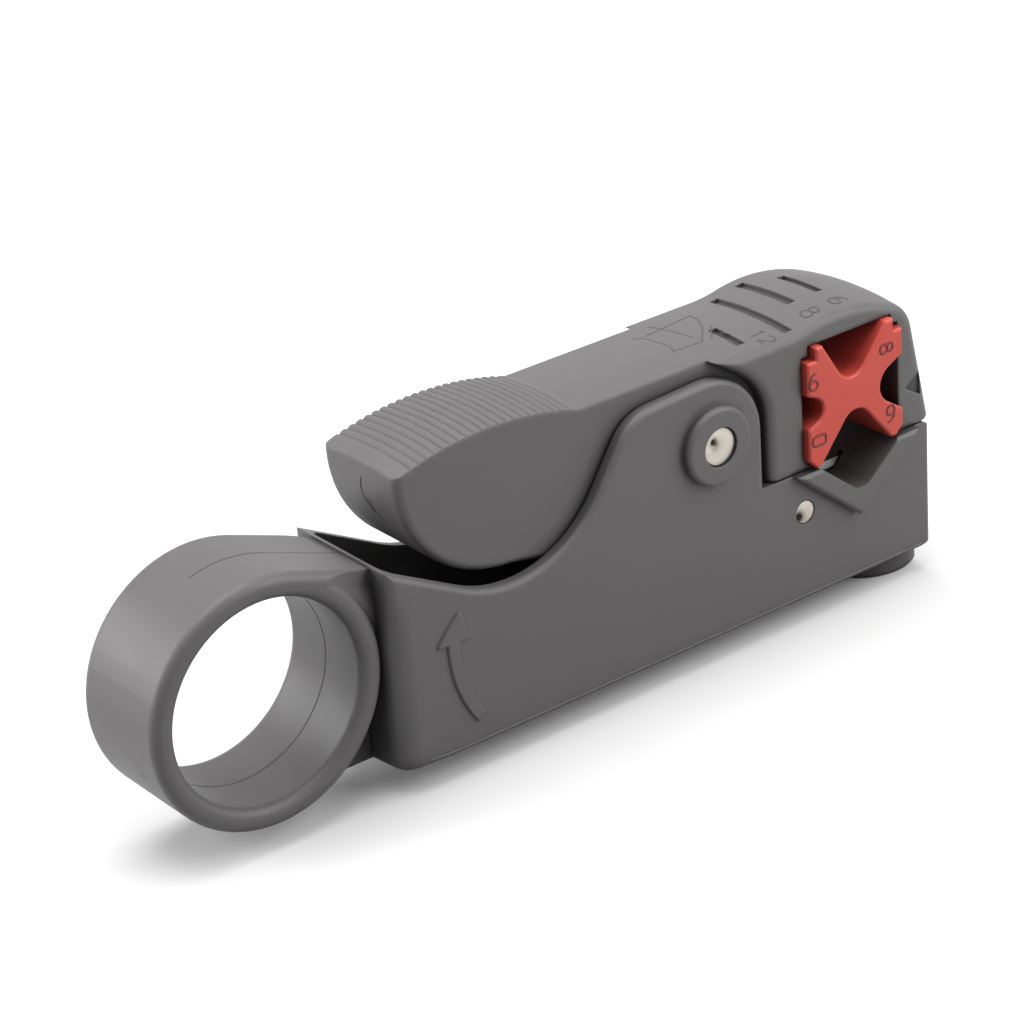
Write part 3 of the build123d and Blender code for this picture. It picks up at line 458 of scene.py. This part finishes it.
def oval(centre, radii, start=0.0, stop=360.0, square=1.0):
    """Part of an ellipse, or with square below 1 a rounded box: each of cosine and sine raised to that
    power."""
    angle = np.radians(np.linspace(start, stop, 28, endpoint=abs(stop - start) < 360))
    turn = np.stack([np.cos(angle), np.sin(angle)], axis=1)
    turn = np.sign(turn) * np.abs(turn) ** square
    return np.asarray(centre) + turn * np.asarray(radii), abs(stop - start) >= 360


def run(*corners):
    """Straight strokes through the corners, with close points so that the bends stay sharp."""
    corners = np.asarray(corners, float)
    share = np.linspace(0, 1, 12, endpoint=False)[None, :, None]
    points = corners[:-1, None] * (1 - share) + corners[1:, None] * share
    return np.concatenate([points.reshape(-1, 2), corners[-1:]]), False


FIGURES = {
    "0": [oval((0, 0.5), (0.31, 0.5), square=0.45)],
    "1": [run((-0.18, 0.78), (0.02, 1.0), (0.02, 0.0))],
    "2": [oval((0, 0.70), (0.29, 0.30), 165, -35), run((0.24, 0.53), (-0.30, 0.0), (0.32, 0.0))],
    "6": [oval((0, 0.29), (0.31, 0.29)), oval((0.13, 0.35), (0.44, 0.65), 178, 72)],
    "8": [oval((0, 0.27), (0.31, 0.27)), oval((0, 0.77), (0.25, 0.23))],
    "9": [oval((0, 0.71), (0.31, 0.29)), oval((-0.13, 0.65), (0.44, 0.65), -2, -108)],
}


def figure_beads(figure, centre, right, up, outward, size, width, height, lift=None):
    """The strokes of a figure laid at centre: right and up are its directions, lift bends it on to a curved
    top."""
    sheets = []
    for stroke, closed in FIGURES[figure]:
        flat = stroke - np.array([0.0, 0.5])
        path = np.asarray(centre, float) + size * (flat[:, :1] * np.array(right) + flat[:, 1:] * np.array(up))
        normal = outward
        if lift is not None:
            path, normal = lift(path)
        sheets.append(bead(path, normal, width, height, closed))
    return sheets


def head_skin(path):
    """Puts points on the lever's top: the top line's height at x, turned about the crown's axis along x.

    The line is level, then a ramp of two equal arcs, then an arc over the crown. With its distance d from the
    crown's axis, z is the axis' height plus the root of d squared less y squared.
    """
    x, y = path[:, 0], path[:, 1]
    share = np.clip((x - CROWN_X + RAMP_LENGTH) / RAMP_LENGTH, 0, 1)
    rise = CROWN_TOP_Z - ARM_TOP_Z
    ramp = np.where(share < 0.5, ARM_TOP_Z + 2 * rise * share**2, CROWN_TOP_Z - 2 * rise * (1 - share) ** 2)
    fall = CROWN_TOP_Z - CROWN_RADIUS + np.sqrt(CROWN_RADIUS**2 - np.clip(x - CROWN_X, 0, 20) ** 2)
    reach = np.where(x > CROWN_X, fall, ramp) - CROWN_AXIS_Z
    z = CROWN_AXIS_Z + np.sqrt(reach**2 - y**2)
    normal = np.stack([0 * x, y, z - CROWN_AXIS_Z], axis=1)
    normal /= np.linalg.norm(normal, axis=1, keepdims=True)
    return np.stack([x, y, z], axis=1), normal


def turn_arrow():
    """The low raised arrow on the body's side, curved about a centre to its right.

    Its points lie at the polar angle u and at the arc's radius plus v times the half width, which grows from
    nothing at the tip to the barbs and then keeps to the shaft's. Across, it steps up over a small slope,
    runs level, and steps down again.
    """
    centre, radius, height, slope, sunk = np.array([38.0, -1.3]), 15.95, 0.28, 0.16, -0.05
    tip, barbs, shaft, tail = 164.6, 177.2, 177.7, 215.0
    degrees = [np.linspace(tip, barbs, 14), np.linspace(shaft, tail, 34), [tail + 0.5]]
    angle = np.radians(np.concatenate(degrees))
    half = np.concatenate([np.linspace(0.2, 2.25, 14), np.linspace(0.86, 0.72, 34), [0.72]])
    top = np.concatenate([[sunk], np.full(47, height), [sunk]])
    drift = np.concatenate([np.linspace(-0.6, 0.0, 14), np.zeros(35)])
    offset = np.stack([-half, -half + slope, half - slope, half], axis=1)
    offset[0] = (-0.02, -0.01, 0.01, 0.02)
    low = np.full(len(angle), sunk)
    rise = np.stack([low, top, top, low], axis=1)
    reach = radius + offset + drift[:, None]
    x = centre[0] + reach * np.cos(angle)[:, None]
    z = centre[1] + reach * np.sin(angle)[:, None]
    return np.stack([x, -BODY_SIDE - rise, z], axis=2), False, False


def domed_pin(x, z, radius, half_length, dome, edge, dimple):
    """A pin across the tool. Along its profile the radius grows from the axis, turns over a rounded rim,
    runs the length and closes again; each end's face is a dome, less a small pit shaped as a bell curve of
    the distance to its place."""
    rim = np.linspace(0, np.pi / 2, 6)
    face_r = np.linspace(0, radius - edge, 16)
    end_r = np.concatenate([face_r[:-1], radius - edge + edge * np.sin(rim)])
    face_y = half_length + dome * (1 - (face_r / (radius - edge)) ** 2)
    end_y = np.concatenate([face_y[:-1], half_length - edge + edge * np.cos(rim)])
    profile_r = np.concatenate([end_r, end_r[::-1]])
    profile_y = np.concatenate([-end_y, end_y[::-1]])
    angle = np.linspace(0, 2 * np.pi, 64, endpoint=False)
    px = profile_r[:, None] * np.cos(angle)
    pz = profile_r[:, None] * np.sin(angle)
    py = np.broadcast_to(profile_y[:, None], px.shape).copy()
    off_x, off_z, depth, spread = dimple
    pit = depth * np.exp(-((px - off_x) ** 2 + (pz - off_z) ** 2) / spread**2)
    on_face = np.abs(py) > half_length - 0.01
    py = np.where(on_face, py - np.sign(py) * pit, py)
    return np.stack([x + px, py, z + pz], axis=2), False, True


def circle_path(radius, start, stop, count):
    """Points round the ring's axis at y = 0, with their directions away from it."""
    angle = np.radians(np.linspace(start, stop, count))
    away = np.stack([np.cos(angle), 0 * angle, np.sin(angle)], axis=1)
    return radius * away, away


def size_figures(turned):
    """The figures on the selector block's face, one by each notch, each upright when its own notch is in
    use."""
    side = 1.0 if turned else -1.0
    sheets = []
    for figure, x, z, right, up in (
        ("6", 73.25, 13.2, (1, 0), (0, 1)),
        ("8", 84.45, 13.85, (0, -1), (1, 0)),
        ("9", 84.95, 5.6, (1, 0), (0, 1)),
        ("0", 73.9, 5.9, (0, 1), (-1, 0)),
    ):
        place = (BLOCK_X - side * (x - BLOCK_X), side * BLOCK_FACE, z)
        right = (-side * right[0], 0, right[1])
        up = (-side * up[0], 0, up[1])
        sheets += figure_beads(figure, place, right, up, (0, side, 0), size=1.95, width=0.32, height=0.10)
    return sheets


def length_figures():
    """The figures beside the strip length bars on the head's top; their tops point to the jaw."""
    sheets = []
    for figure, x, y, size in (
        ("1", 68.8, -5.3, 2.0),
        ("2", 68.8, -6.9, 2.0),
        ("8", 76.1, -5.95, 2.3),
        ("6", 80.5, -5.75, 2.3),
    ):
        sheets += figure_beads(
            figure, (x, y, 0), right=(0, -1, 0), up=(1, 0, 0), outward=None,
            size=size, width=0.24, height=0.05, lift=head_skin,
        )
    return sheets


def cable_end_drawing():
    """A faint outline of a cut cable end on the arm's top, beside the strip length bars: straight strokes."""
    sheets = []
    for corners in (
        (
            (58.1, 3.5), (59.0, 2.5), (59.4, -1.6), (58.8, -2.6), (62.8, -2.8),
            (65.2, -0.2), (66.5, 2.0), (66.9, 3.9), (59.1, 2.9),
        ),
        ((61.7, 5.3), (62.3, 2.1), (62.8, -1.5)),
        ((64.0, -3.1), (66.5, -0.1)),
        ((66.0, -2.4), (66.4, -3.5)),
    ):
        path, normal = head_skin(run(*corners)[0])
        sheets.append(bead(path, normal, width=0.18, height=0.035))
    return sheets


def parting_seams():
    """The mould's parting line at the middle of the width: over the ring's top, along the strap and in the
    bore."""
    over, away = circle_path(RING_OUTER, 106.0, 90.0 - STRAP_SLOPE_DEG, 60)
    slope = math.radians(STRAP_SLOPE_DEG)
    gone = np.linspace(0.2, 9.9, 30)[:, None]
    strap = over[-1] + gone * np.array([math.cos(slope), 0.0, -math.sin(slope)])
    path = np.concatenate([over, strap])
    outward = np.concatenate([away, np.repeat(away[-1:], len(strap), axis=0)])
    bore, inward = circle_path(RING_BORE, 0.0, 357.6, 150)
    outside = bead(path, outward, width=0.14, height=0.018)
    inside = bead(bore, -inward, width=0.2, height=0.05, closed=True)
    return [outside, inside]


def nose_scratches():
    """Small burrs on the thumb pad's nose, laid on its round end."""
    sheets = []
    for (y_from, z_from), (y_to, z_to), width in (
        ((-0.2, 17.6), (0.3, 15.3), 0.18),
        ((0.3, 15.3), (-0.9, 13.2), 0.22),
        ((-0.4, 15.0), (-1.7, 12.6), 0.14),
    ):
        share = np.linspace(0, 1, 16)
        y = y_from + (y_to - y_from) * share + 0.15 * np.sin(np.pi * share)
        z = z_from + (z_to - z_from) * share
        fall = z - PAD_AXIS[1]
        x = PAD_AXIS[0] - np.sqrt(PAD_RADIUS**2 - fall**2)
        outward = np.stack([(x - PAD_AXIS[0]) / PAD_RADIUS, 0 * x, fall / PAD_RADIUS], axis=1)
        sheets.append(bead(np.stack([x, y, z], axis=1), outward, width, height=0.05))
    return sheets


def pull_in(points, first, second, centre, signs, radius, allowed):
    """Rounds a square edge: the allowed points that lie beyond both lines through the centre, and further
    off than the radius, move in to it."""
    a, b = points[:, first] - centre[0], points[:, second] - centre[1]
    away = np.hypot(a, b)
    beyond = (signs[0] * a > 0) & (signs[1] * b > 0) & (away > radius) & allowed
    share = np.where(beyond, radius / np.maximum(away, 1e-9), 1.0)
    points[:, first] = centre[0] + a * share
    points[:, second] = centre[1] + b * share


def area_normals(mesh, limit_deg):
    """Gives each face corner the mean normal of the faces at its point that lie within the limit of its own
    face, weighted by area, so that large flat faces stay flat beside small rounded ones."""
    count = len(mesh.polygons)
    area, normal, sides = np.empty(count), np.empty(count * 3), np.empty(count, dtype=np.int32)
    vertex = np.empty(len(mesh.loops), dtype=np.int32)
    mesh.polygons.foreach_get("area", area)
    mesh.polygons.foreach_get("normal", normal)
    mesh.polygons.foreach_get("loop_total", sides)
    mesh.loops.foreach_get("vertex_index", vertex)
    order = np.argsort(vertex, kind="stable")
    vertex, face = vertex[order], np.repeat(np.arange(count), sides)[order]
    own = normal.reshape(-1, 3)[face]
    weighted = own * area[face][:, None]
    total = weighted.copy()
    for shift in range(1, int(np.bincount(vertex).max())):
        near = np.einsum("ij,ij->i", own[shift:], own[:-shift]) > math.cos(math.radians(limit_deg))
        near = (near & (vertex[shift:] == vertex[:-shift]))[:, None]
        total[shift:] += weighted[:-shift] * near
        total[:-shift] += weighted[shift:] * near
    corner = np.empty_like(total)
    corner[order] = total / np.maximum(np.linalg.norm(total, axis=1, keepdims=True), 1e-20)
    mesh.normals_split_custom_set(corner.tolist())


def edge_radius(x):
    """The body's lower edges: 1.3 mm in radius, growing as a square to 1.8 mm at the rear corner."""
    return 1.3 + 0.5 * np.clip((24.0 - x) / 6.9, 0, 1) ** 2


def rounded_body():
    """The body with softer corners: a merged copy of its mesh, cut by a few planes beside each corner and
    then pulled in to larger radii at the rear corners, the rear foot and the lower edges. The boss is drawn
    in a little and raised."""
    shell = bmesh.new()
    shell.from_mesh(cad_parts["body"].data)
    bmesh.ops.remove_doubles(shell, verts=shell.verts, dist=0.000001)
    cuts = [((1, 0, 0), x) for x in (14.65, 15.0, 15.45, 16.0, 16.6, 17.1, 18, 19, 20.2, 21.5, 24)]
    cuts += [((0, side, 0), y) for side in (-1, 1) for y in (5.8, 6.4, 7.0, 7.35, 7.7, 8.0, 8.25)]
    cuts += [((0, 0, 1), z) for z in (-14.1, -13.8, -13.4, -13.0, -12.3, -11.5, 1.0, 3.0, 5.0, 7.0, 9.0)]
    for normal, distance in cuts:
        spot = tuple(n * distance * MM for n in normal)
        parts = shell.verts[:] + shell.edges[:] + shell.faces[:]
        bmesh.ops.bisect_plane(shell, geom=parts, dist=0.000001, plane_co=spot, plane_no=normal)
    mesh = bpy.data.meshes.new("body_softened")
    shell.to_mesh(mesh)
    shell.free()
    flat = np.empty(len(mesh.vertices) * 3)
    mesh.vertices.foreach_get("co", flat)
    points = flat.reshape(-1, 3) / MM
    rear, foot_radius, foot_z, web = 14.4, 1.8, -12.5, 2.2
    corner_axis, foot_circle = (17.1, 5.7), 0.9
    share = np.clip((9.5 - points[:, 2]) / 7.5, 0, 1)
    corner = 1.0 + 1.7 * share**2 * (3 - 2 * share)
    behind_wall = points[:, 0] > rear - 0.02
    for side in (-1, 1):
        centre = (rear + corner, side * (BODY_SIDE - corner))
        pull_in(points, 0, 1, centre, (-1, side), corner, behind_wall)
        lower = edge_radius(points[:, 0])
        low_centre = (side * (BODY_SIDE - lower), BODY_BOTTOM + lower)
        above_foot = behind_wall & (points[:, 2] > BODY_BOTTOM - 0.05)
        pull_in(points, 1, 2, low_centre, (side, -1), lower, above_foot)
    beside_web = behind_wall & (np.abs(points[:, 1]) > web)
    pull_in(points, 0, 2, (16.2, foot_z), (-1, -1), foot_radius, beside_web)
    for side in (-1, 1):
        along, across = points[:, 0] - corner_axis[0], points[:, 1] - side * corner_axis[1]
        turned = np.stack([np.hypot(along, across), points[:, 2]], axis=1)
        before = turned[:, 0].copy()
        in_corner = behind_wall & (along < 0) & (side * across > 0)
        pull_in(turned, 0, 1, (foot_circle, foot_z), (1, -1), foot_radius, in_corner)
        share = turned[:, 0] / np.maximum(before, 1e-9)
        points[:, 0] = corner_axis[0] + along * share
        points[:, 1] = side * corner_axis[1] + across * share
        points[:, 2] = turned[:, 1]
    boss_inside, boss_outside, boss_shrink, boss_raise = 3.5, 5.3, 0.93, 0.18
    x, z = points[:, 0] - PIVOT[0], points[:, 2] - PIVOT[1]
    around = np.hypot(x, z)
    boss = (np.abs(points[:, 1]) > BODY_SIDE - 0.01) & (around > boss_inside) & (around < boss_outside)
    shrink = np.where(boss, boss_shrink, 1.0)
    points[:, 0] = PIVOT[0] + x * shrink
    points[:, 2] = PIVOT[1] + z * shrink
    proud = np.clip(np.abs(points[:, 1]) - BODY_SIDE, 0, None) * (around < boss_outside)
    points[:, 1] += np.sign(points[:, 1]) * proud * boss_raise
    mesh.vertices.foreach_set("co", (points * MM).ravel())
    mesh.polygons.foreach_set("use_smooth", np.ones(len(mesh.polygons), dtype=bool))
    area_normals(mesh, 30)
    mesh.materials.clear()
    mesh.materials.append(GREY)
    piece = bpy.data.objects.new("body_softened", mesh)
    bpy.context.scene.collection.objects.link(piece)
    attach(piece, "frame")
    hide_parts("body")


def strap_shoulder(side):
    """The strap's rounded shoulder towards the body's corner. Across, a quarter ellipse from the strap's top
    out to the ring's width, then straight down; the ellipse grows deeper along the strap."""
    slope = math.tan(math.radians(STRAP_SLOPE_DEG))
    strap_x, strap_z, strap_half, ring_inside, lowest = 4.857, 13.344, 3.7, 12.8, 2.5
    x = np.linspace(7.0, 14.6, 24)
    share = (x - x[0]) / (x[-1] - x[0])
    top = strap_z - (x - strap_x) * slope - 0.04 - 0.5 * (1 - share) ** 2
    deep = 1.4 + 3.4 * share**1.5
    wide = 3.0 - 1.0 * share
    angle = np.linspace(0, np.pi / 2, 12)
    y = strap_half + wide[:, None] * np.sin(angle)
    z = top[:, None] - deep[:, None] * (1 - np.cos(angle))
    low = np.sqrt(np.maximum(ring_inside**2 - x**2, lowest**2))[:, None]
    y = np.concatenate([y, y[:, -1:] - 0.2, np.full((len(x), 1), strap_half)], axis=1)
    z = np.concatenate([z, low, low], axis=1)
    grid = np.stack([np.broadcast_to(x[:, None], y.shape), side * y, z], axis=2)
    return capped(grid), False, True


def lever_skirt(side):
    """The lever's side wall between thumb pad and hub. Its lower edge comes out of the belly's circle along
    a tangent and goes on as a cubic, its upper edge is hidden in the belly and the arm, and a quarter round
    leads to its side."""
    leaves_belly, pad_end, top = 31.0, 43.4, 13.7
    outer, round_middle, inner, round_radius = 6.503, 5.703, 5.3, 0.8
    x = np.linspace(26.0, 55.0, 70)
    gone = np.maximum(x - leaves_belly, 0)
    hidden = np.maximum(leaves_belly - x, 0)
    inside = PAD_AXIS[1] - np.sqrt(np.maximum(PAD_INSIDE_RADIUS**2 - (x - PAD_AXIS[0]) ** 2, 0.0))
    high = np.where(x < pad_end, np.minimum(inside, top), top)
    belly = PAD_AXIS[1] - np.sqrt(PAD_RADIUS**2 - (np.minimum(x, leaves_belly) - PAD_AXIS[0]) ** 2)
    low = belly + 0.028 * hidden**2 - 0.071 * gone - 0.035 * gone**2 + 0.0022 * gone**3
    angle = np.linspace(0, np.pi / 2, 7)
    round_y = side * (round_middle + round_radius * np.cos(angle))
    round_z = low[:, None] + round_radius * (1 - np.sin(angle))
    one = np.ones((len(x), 1))
    outer_y, inner_y = one * side * outer, one * side * inner
    y = np.concatenate([outer_y, outer_y, one * round_y, inner_y, inner_y], axis=1)
    z = np.concatenate([high[:, None], round_z[:, :1] + 0.04, round_z, low[:, None], high[:, None]], axis=1)
    return capped(np.stack([x[:, None] + 0 * y, y, z], axis=2)), False, True


def bar_floor(x, y_low, y_high):
    """The stippled floor of one strip length bar: a strip across the head's top, just above the groove's
    floor."""
    half_width, end_gap = 0.58, 0.03
    across = np.linspace(x - half_width, x + half_width, 5)
    along = np.linspace(y_low + end_gap, y_high - end_gap, 24)
    grid_x, grid_y = np.meshgrid(across, along, indexing="ij")
    flat = np.stack([grid_x.ravel(), grid_y.ravel()], axis=1)
    skin, normal = head_skin(flat)
    floor = skin - BAR_FLOOR_DEPTH * normal
    return floor.reshape(len(across), len(along), 3), False, False


def pointer_floor(side):
    """The stippled floor of the triangle beside the window: rows between its tip and its base."""
    length, half_base, depth = 2.4, 1.5, 0.36
    share = np.linspace(0.03, 0.97, 8)[:, None]
    spread = np.linspace(-1, 1, 7)[None, :]
    x = POINTER_TIP[0] + length * share + 0 * spread
    z = POINTER_TIP[1] + half_base * share * spread
    return np.stack([x, side * (BODY_SIDE - depth) + 0 * x, z], axis=2), False, False


def lower_edge_highlights():
    """A fine line of painted highlight where the body's flat sides meet their rounded lower edges."""
    x = np.linspace(17.5, 91.0, 90)
    turn = math.radians(20)
    near = (0.0, -math.cos(turn), -math.sin(turn))
    radius = edge_radius(x)
    path = np.stack([x, radius * (1 + near[1]) - BODY_SIDE, radius * (1 + near[2]) + BODY_BOTTOM], axis=1)
    far = path * np.array([1, -1, 1])
    directions = ((path, near), (far, (0.0, -near[1], near[2])))
    return [bead(line, outward, width=0.2, height=0.05) for line, outward in directions]


def ring_scuffs():
    """Short rubbed marks low on the ring's outside, from a fixed seed: ridges with a turn, a lean and a
    length."""
    draw = np.random.default_rng(11)
    sheets = []
    for _ in range(16):
        turn = 188 + 14 * draw.random()
        y = -3.4 + 3.0 * draw.random()
        lean = draw.normal(0, 0.25)
        long = 0.4 + 1.3 * draw.random() ** 2
        share = np.linspace(-0.5, 0.5, 10) * long
        angle = np.radians(turn) + share / RING_OUTER
        away = np.stack([np.cos(angle), 0 * angle, np.sin(angle)], axis=1)
        path = (RING_OUTER - 0.012) * away
        path[:, 1] = y + lean * share
        sheets.append(bead(path, away, 0.07 + 0.06 * draw.random(), 0.014))
    return sheets


def coil_spring():
    """The return spring: a round wire whose middle runs along a helix. Across the wire, its points are the
    middle plus the wire's radius times the cosine of an angle outwards and the sine of it along the third
    direction."""
    turns, coil_radius, wire_radius = 7, 3.2, 0.5
    turn = np.linspace(0, 2 * np.pi * turns, turns * 32 + 1)
    out = np.stack([np.cos(turn), np.sin(turn), 0 * turn], axis=1)
    middle = coil_radius * out + np.array([SPRING_X, 0.0, SPRING_LOW_Z])
    middle[:, 2] += (SPRING_HIGH_Z - SPRING_LOW_Z) * turn / turn[-1]
    along = np.gradient(middle, axis=0)
    along /= np.linalg.norm(along, axis=1, keepdims=True)
    third = np.cross(along, out)
    angle = np.linspace(0, 2 * np.pi, 12, endpoint=False)
    wire = np.cos(angle)[None, :, None] * out[:, None] + np.sin(angle)[None, :, None] * third[:, None]
    return capped(middle[:, None] + wire_radius * wire), False, True


# Pieces
spring = build("return_spring_coil", [coil_spring()], WIRE_STEEL, None)
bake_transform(spring)
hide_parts("return_spring")
rounded_body()
build("strap_shoulders", [strap_shoulder(-1), strap_shoulder(1)], GREY_FLUSH, "frame")
skirts = build("lever_skirts", [lever_skirt(-1), lever_skirt(1)], GREY_FLUSH, "lever")
skirts.data.set_sharp_from_angle(angle=SHARP)
build(
    "bar_floors",
    [
        bar_floor(65.7, -6.0, -1.2), bar_floor(71.8, -7.0, 5.5),
        bar_floor(76.0, -3.0, 5.9), bar_floor(80.4, -2.8, 3.7),
    ],
    GREY_RECESS, "lever",
)
build("pointer_floors", [pointer_floor(-1), pointer_floor(1)], GREY_RECESS, "lever")
# Painted highlight along the lower edges
build("lower_edge_highlights", lower_edge_highlights(), SCUFF_AND_HIGHLIGHT, "frame")
build("ring_scuffs", ring_scuffs(), SCUFF_AND_HIGHLIGHT, "frame")
arrow = build("turn_arrow", [turn_arrow()], GREY, "frame")
arrow.data.set_sharp_from_angle(angle=SHARP)
build("parting_seams", parting_seams(), GREY, "frame")
build("size_figures_near", size_figures(False), RED_MARK, "selector")
build("size_figures_far", size_figures(True), RED_MARK, "selector")
build("length_figures", length_figures(), GREY_MARK, "lever")
build("cable_end_drawing", cable_end_drawing(), GREY_MARK, "lever")
build("nose_scratches", nose_scratches(), GREY_MARK, "lever")


def paint_pin_shade(pin, centre, place, spread, amount, side_shade_amount):
    """Stores painted shade for each point of a pin's end: a bell curve round the pit, and a wider, weaker one
    beside it that darkens that side of the end."""
    flat = np.empty(len(pin.data.vertices) * 3)
    pin.data.vertices.foreach_get("co", flat)
    points = flat.reshape(-1, 3) / MM
    x, z = points[:, 0] - centre[0], points[:, 2] - centre[1]
    pit = amount * np.exp(-((x - place[0]) ** 2 + 0.6 * (z - place[1]) ** 2) / spread**2)
    side_shade = side_shade_amount * np.exp(-((x - place[0] - 0.3) ** 2 + (z - place[1] + 0.4) ** 2) / (4 * spread**2))
    painted_pit_shade = pin.data.attributes.new("painted_pit_shade", "FLOAT", "POINT")
    painted_pit_shade.data.foreach_set("value", np.clip(pit + side_shade, 0, 1).astype(np.float32))


pivot = build(
    "pivot_pin_turned",
    [domed_pin(*PIVOT, radius=2.3, half_length=9.3, dome=0.22, edge=0.2, dimple=(*PIVOT_PIT, 0.42, 0.36))],
    PIN_STEEL, "frame",
)
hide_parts("pivot_pin")
# Painted shade in the pivot pin's pit and on one side of its end
paint_pin_shade(pivot, PIVOT, PIVOT_PIT, spread=0.42, amount=0.95, side_shade_amount=0.3)
blade_pin = build(
    "blade_pin_turned",
    [domed_pin(*BLADE_PIN, radius=1.4, half_length=8.35, dome=0.16, edge=0.15, dimple=(0.0, 0.0, 0.05, 0.4))],
    PIN_STEEL, "frame",
)
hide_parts("blade_pin")
# Painted shade on one side of the blade pin's end
paint_pin_shade(blade_pin, BLADE_PIN, (-1.05, -0.2), spread=0.55, amount=0.9, side_shade_amount=0.45)


# Studio
def white_stage():
    """A pale floor under the tool that shows its soft shadow, and a white surround."""
    side = 3.0
    corners = [(-side, -side, FLOOR_Z), (side, -side, FLOOR_Z), (side, side, FLOOR_Z), (-side, side, FLOOR_Z)]
    mesh = bpy.data.meshes.new("pale_floor")
    mesh.from_pydata(corners, [], [(0, 1, 2, 3)])
    floor = bpy.data.objects.new("pale_floor", mesh)
    bpy.context.scene.collection.objects.link(floor)
    material, tree = new_material("pale floor")
    seen_by = tree.nodes.new("ShaderNodeLightPath")
    straight = math_node(tree, "MAXIMUM", seen_by.outputs["Is Camera Ray"], seen_by.outputs["Is Glossy Ray"])
    shader = add_node(tree, "ShaderNodeBsdfPrincipled")
    pale = mix_colour(tree, straight, (0.14, 0.14, 0.14, 1), (0.93, 0.93, 0.93, 1))
    tree.links.new(pale, shader.inputs["Base Color"])
    shader.inputs["Roughness"].default_value = 0.9
    shader.inputs["Specular IOR Level"].default_value = 0.1
    out = add_node(tree, "ShaderNodeOutputMaterial")
    tree.links.new(shader.outputs[0], out.inputs[0])
    mesh.materials.append(material)
    world = bpy.data.worlds.new("white surround")
    world.use_nodes = True
    bpy.context.scene.world = world
    sky = world.node_tree
    sky.nodes.clear()
    path = sky.nodes.new("ShaderNodeLightPath")
    lit = add_node(sky, "ShaderNodeBackground")
    lit.inputs["Color"].default_value = (1.0, 0.99, 0.98, 1)
    lit.inputs["Strength"].default_value = 0.30
    seen = add_node(sky, "ShaderNodeBackground")
    seen.inputs["Color"].default_value = (1, 1, 1, 1)
    seen.inputs["Strength"].default_value = 1.0
    blend = sky.nodes.new("ShaderNodeMixShader")
    direct = math_node(sky, "MAXIMUM", path.outputs["Is Camera Ray"], path.outputs["Is Glossy Ray"])
    direct = math_node(sky, "MAXIMUM", direct, path.outputs["Is Transmission Ray"])
    sky.links.new(direct, blend.inputs[0])
    sky.links.new(lit.outputs[0], blend.inputs[1])
    sky.links.new(seen.outputs[0], blend.inputs[2])
    out = sky.nodes.new("ShaderNodeOutputWorld")
    sky.links.new(blend.outputs[0], out.inputs[0])


def soft_lamp(name, place, target, width, height, watts):
    """A soft rectangular lamp at place, aimed at target."""
    data = bpy.data.lights.new(name, "AREA")
    data.shape = "RECTANGLE"
    data.size = width
    data.size_y = height
    data.energy = watts
    lamp = bpy.data.objects.new(name, data)
    bpy.context.scene.collection.objects.link(lamp)
    away = np.array(place, float) - np.array(target, float)
    away /= np.linalg.norm(away)
    across = np.cross((0.0, 0.0, 1.0), away)
    across /= np.linalg.norm(across)
    up = np.cross(away, across)
    turn = np.stack([across, up, away], axis=1)
    matrix = np.eye(4)
    matrix[:3, :3] = turn
    matrix[:3, 3] = place
    lamp.matrix_world = Matrix(matrix.tolist())


def photo_camera():
    """The camera that was fitted to the photograph: its axes, place and lens."""
    right = np.array([0.783637, -0.617883, -0.064877])
    forward = np.array([0.535035, 0.724194, -0.435073])
    forward /= np.linalg.norm(forward)
    right -= forward * (right @ forward)
    right /= np.linalg.norm(right)
    up = np.cross(right, forward)
    matrix = np.eye(4)
    matrix[:3, 0] = right
    matrix[:3, 1] = up
    matrix[:3, 2] = -forward
    matrix[:3, 3] = np.array([-157.14, -263.05, 164.64]) * MM
    data = bpy.data.cameras.new("photo_camera")
    data.sensor_width = 36.0
    data.lens = 117.64
    data.clip_start = 0.01
    camera = bpy.data.objects.new("photo_camera", data)
    bpy.context.scene.collection.objects.link(camera)
    camera.matrix_world = Matrix(matrix.tolist())
    bpy.context.scene.camera = camera


white_stage()
soft_lamp("overhead", (0.02, 0.08, 0.62), (0.045, 0.0, 0.0), 0.6, 0.6, 3.7)
soft_lamp("left_side", (-0.44, 0.38, 0.24), (0.045, 0.0, 0.0), 0.45, 0.45, 3.2)
soft_lamp("right_front", (0.24, -0.22, 0.19), (0.06, 0.0, 0.0), 0.30, 0.30, 0.84)
photo_camera()
bpy.context.scene.view_settings.view_transform = "Standard"
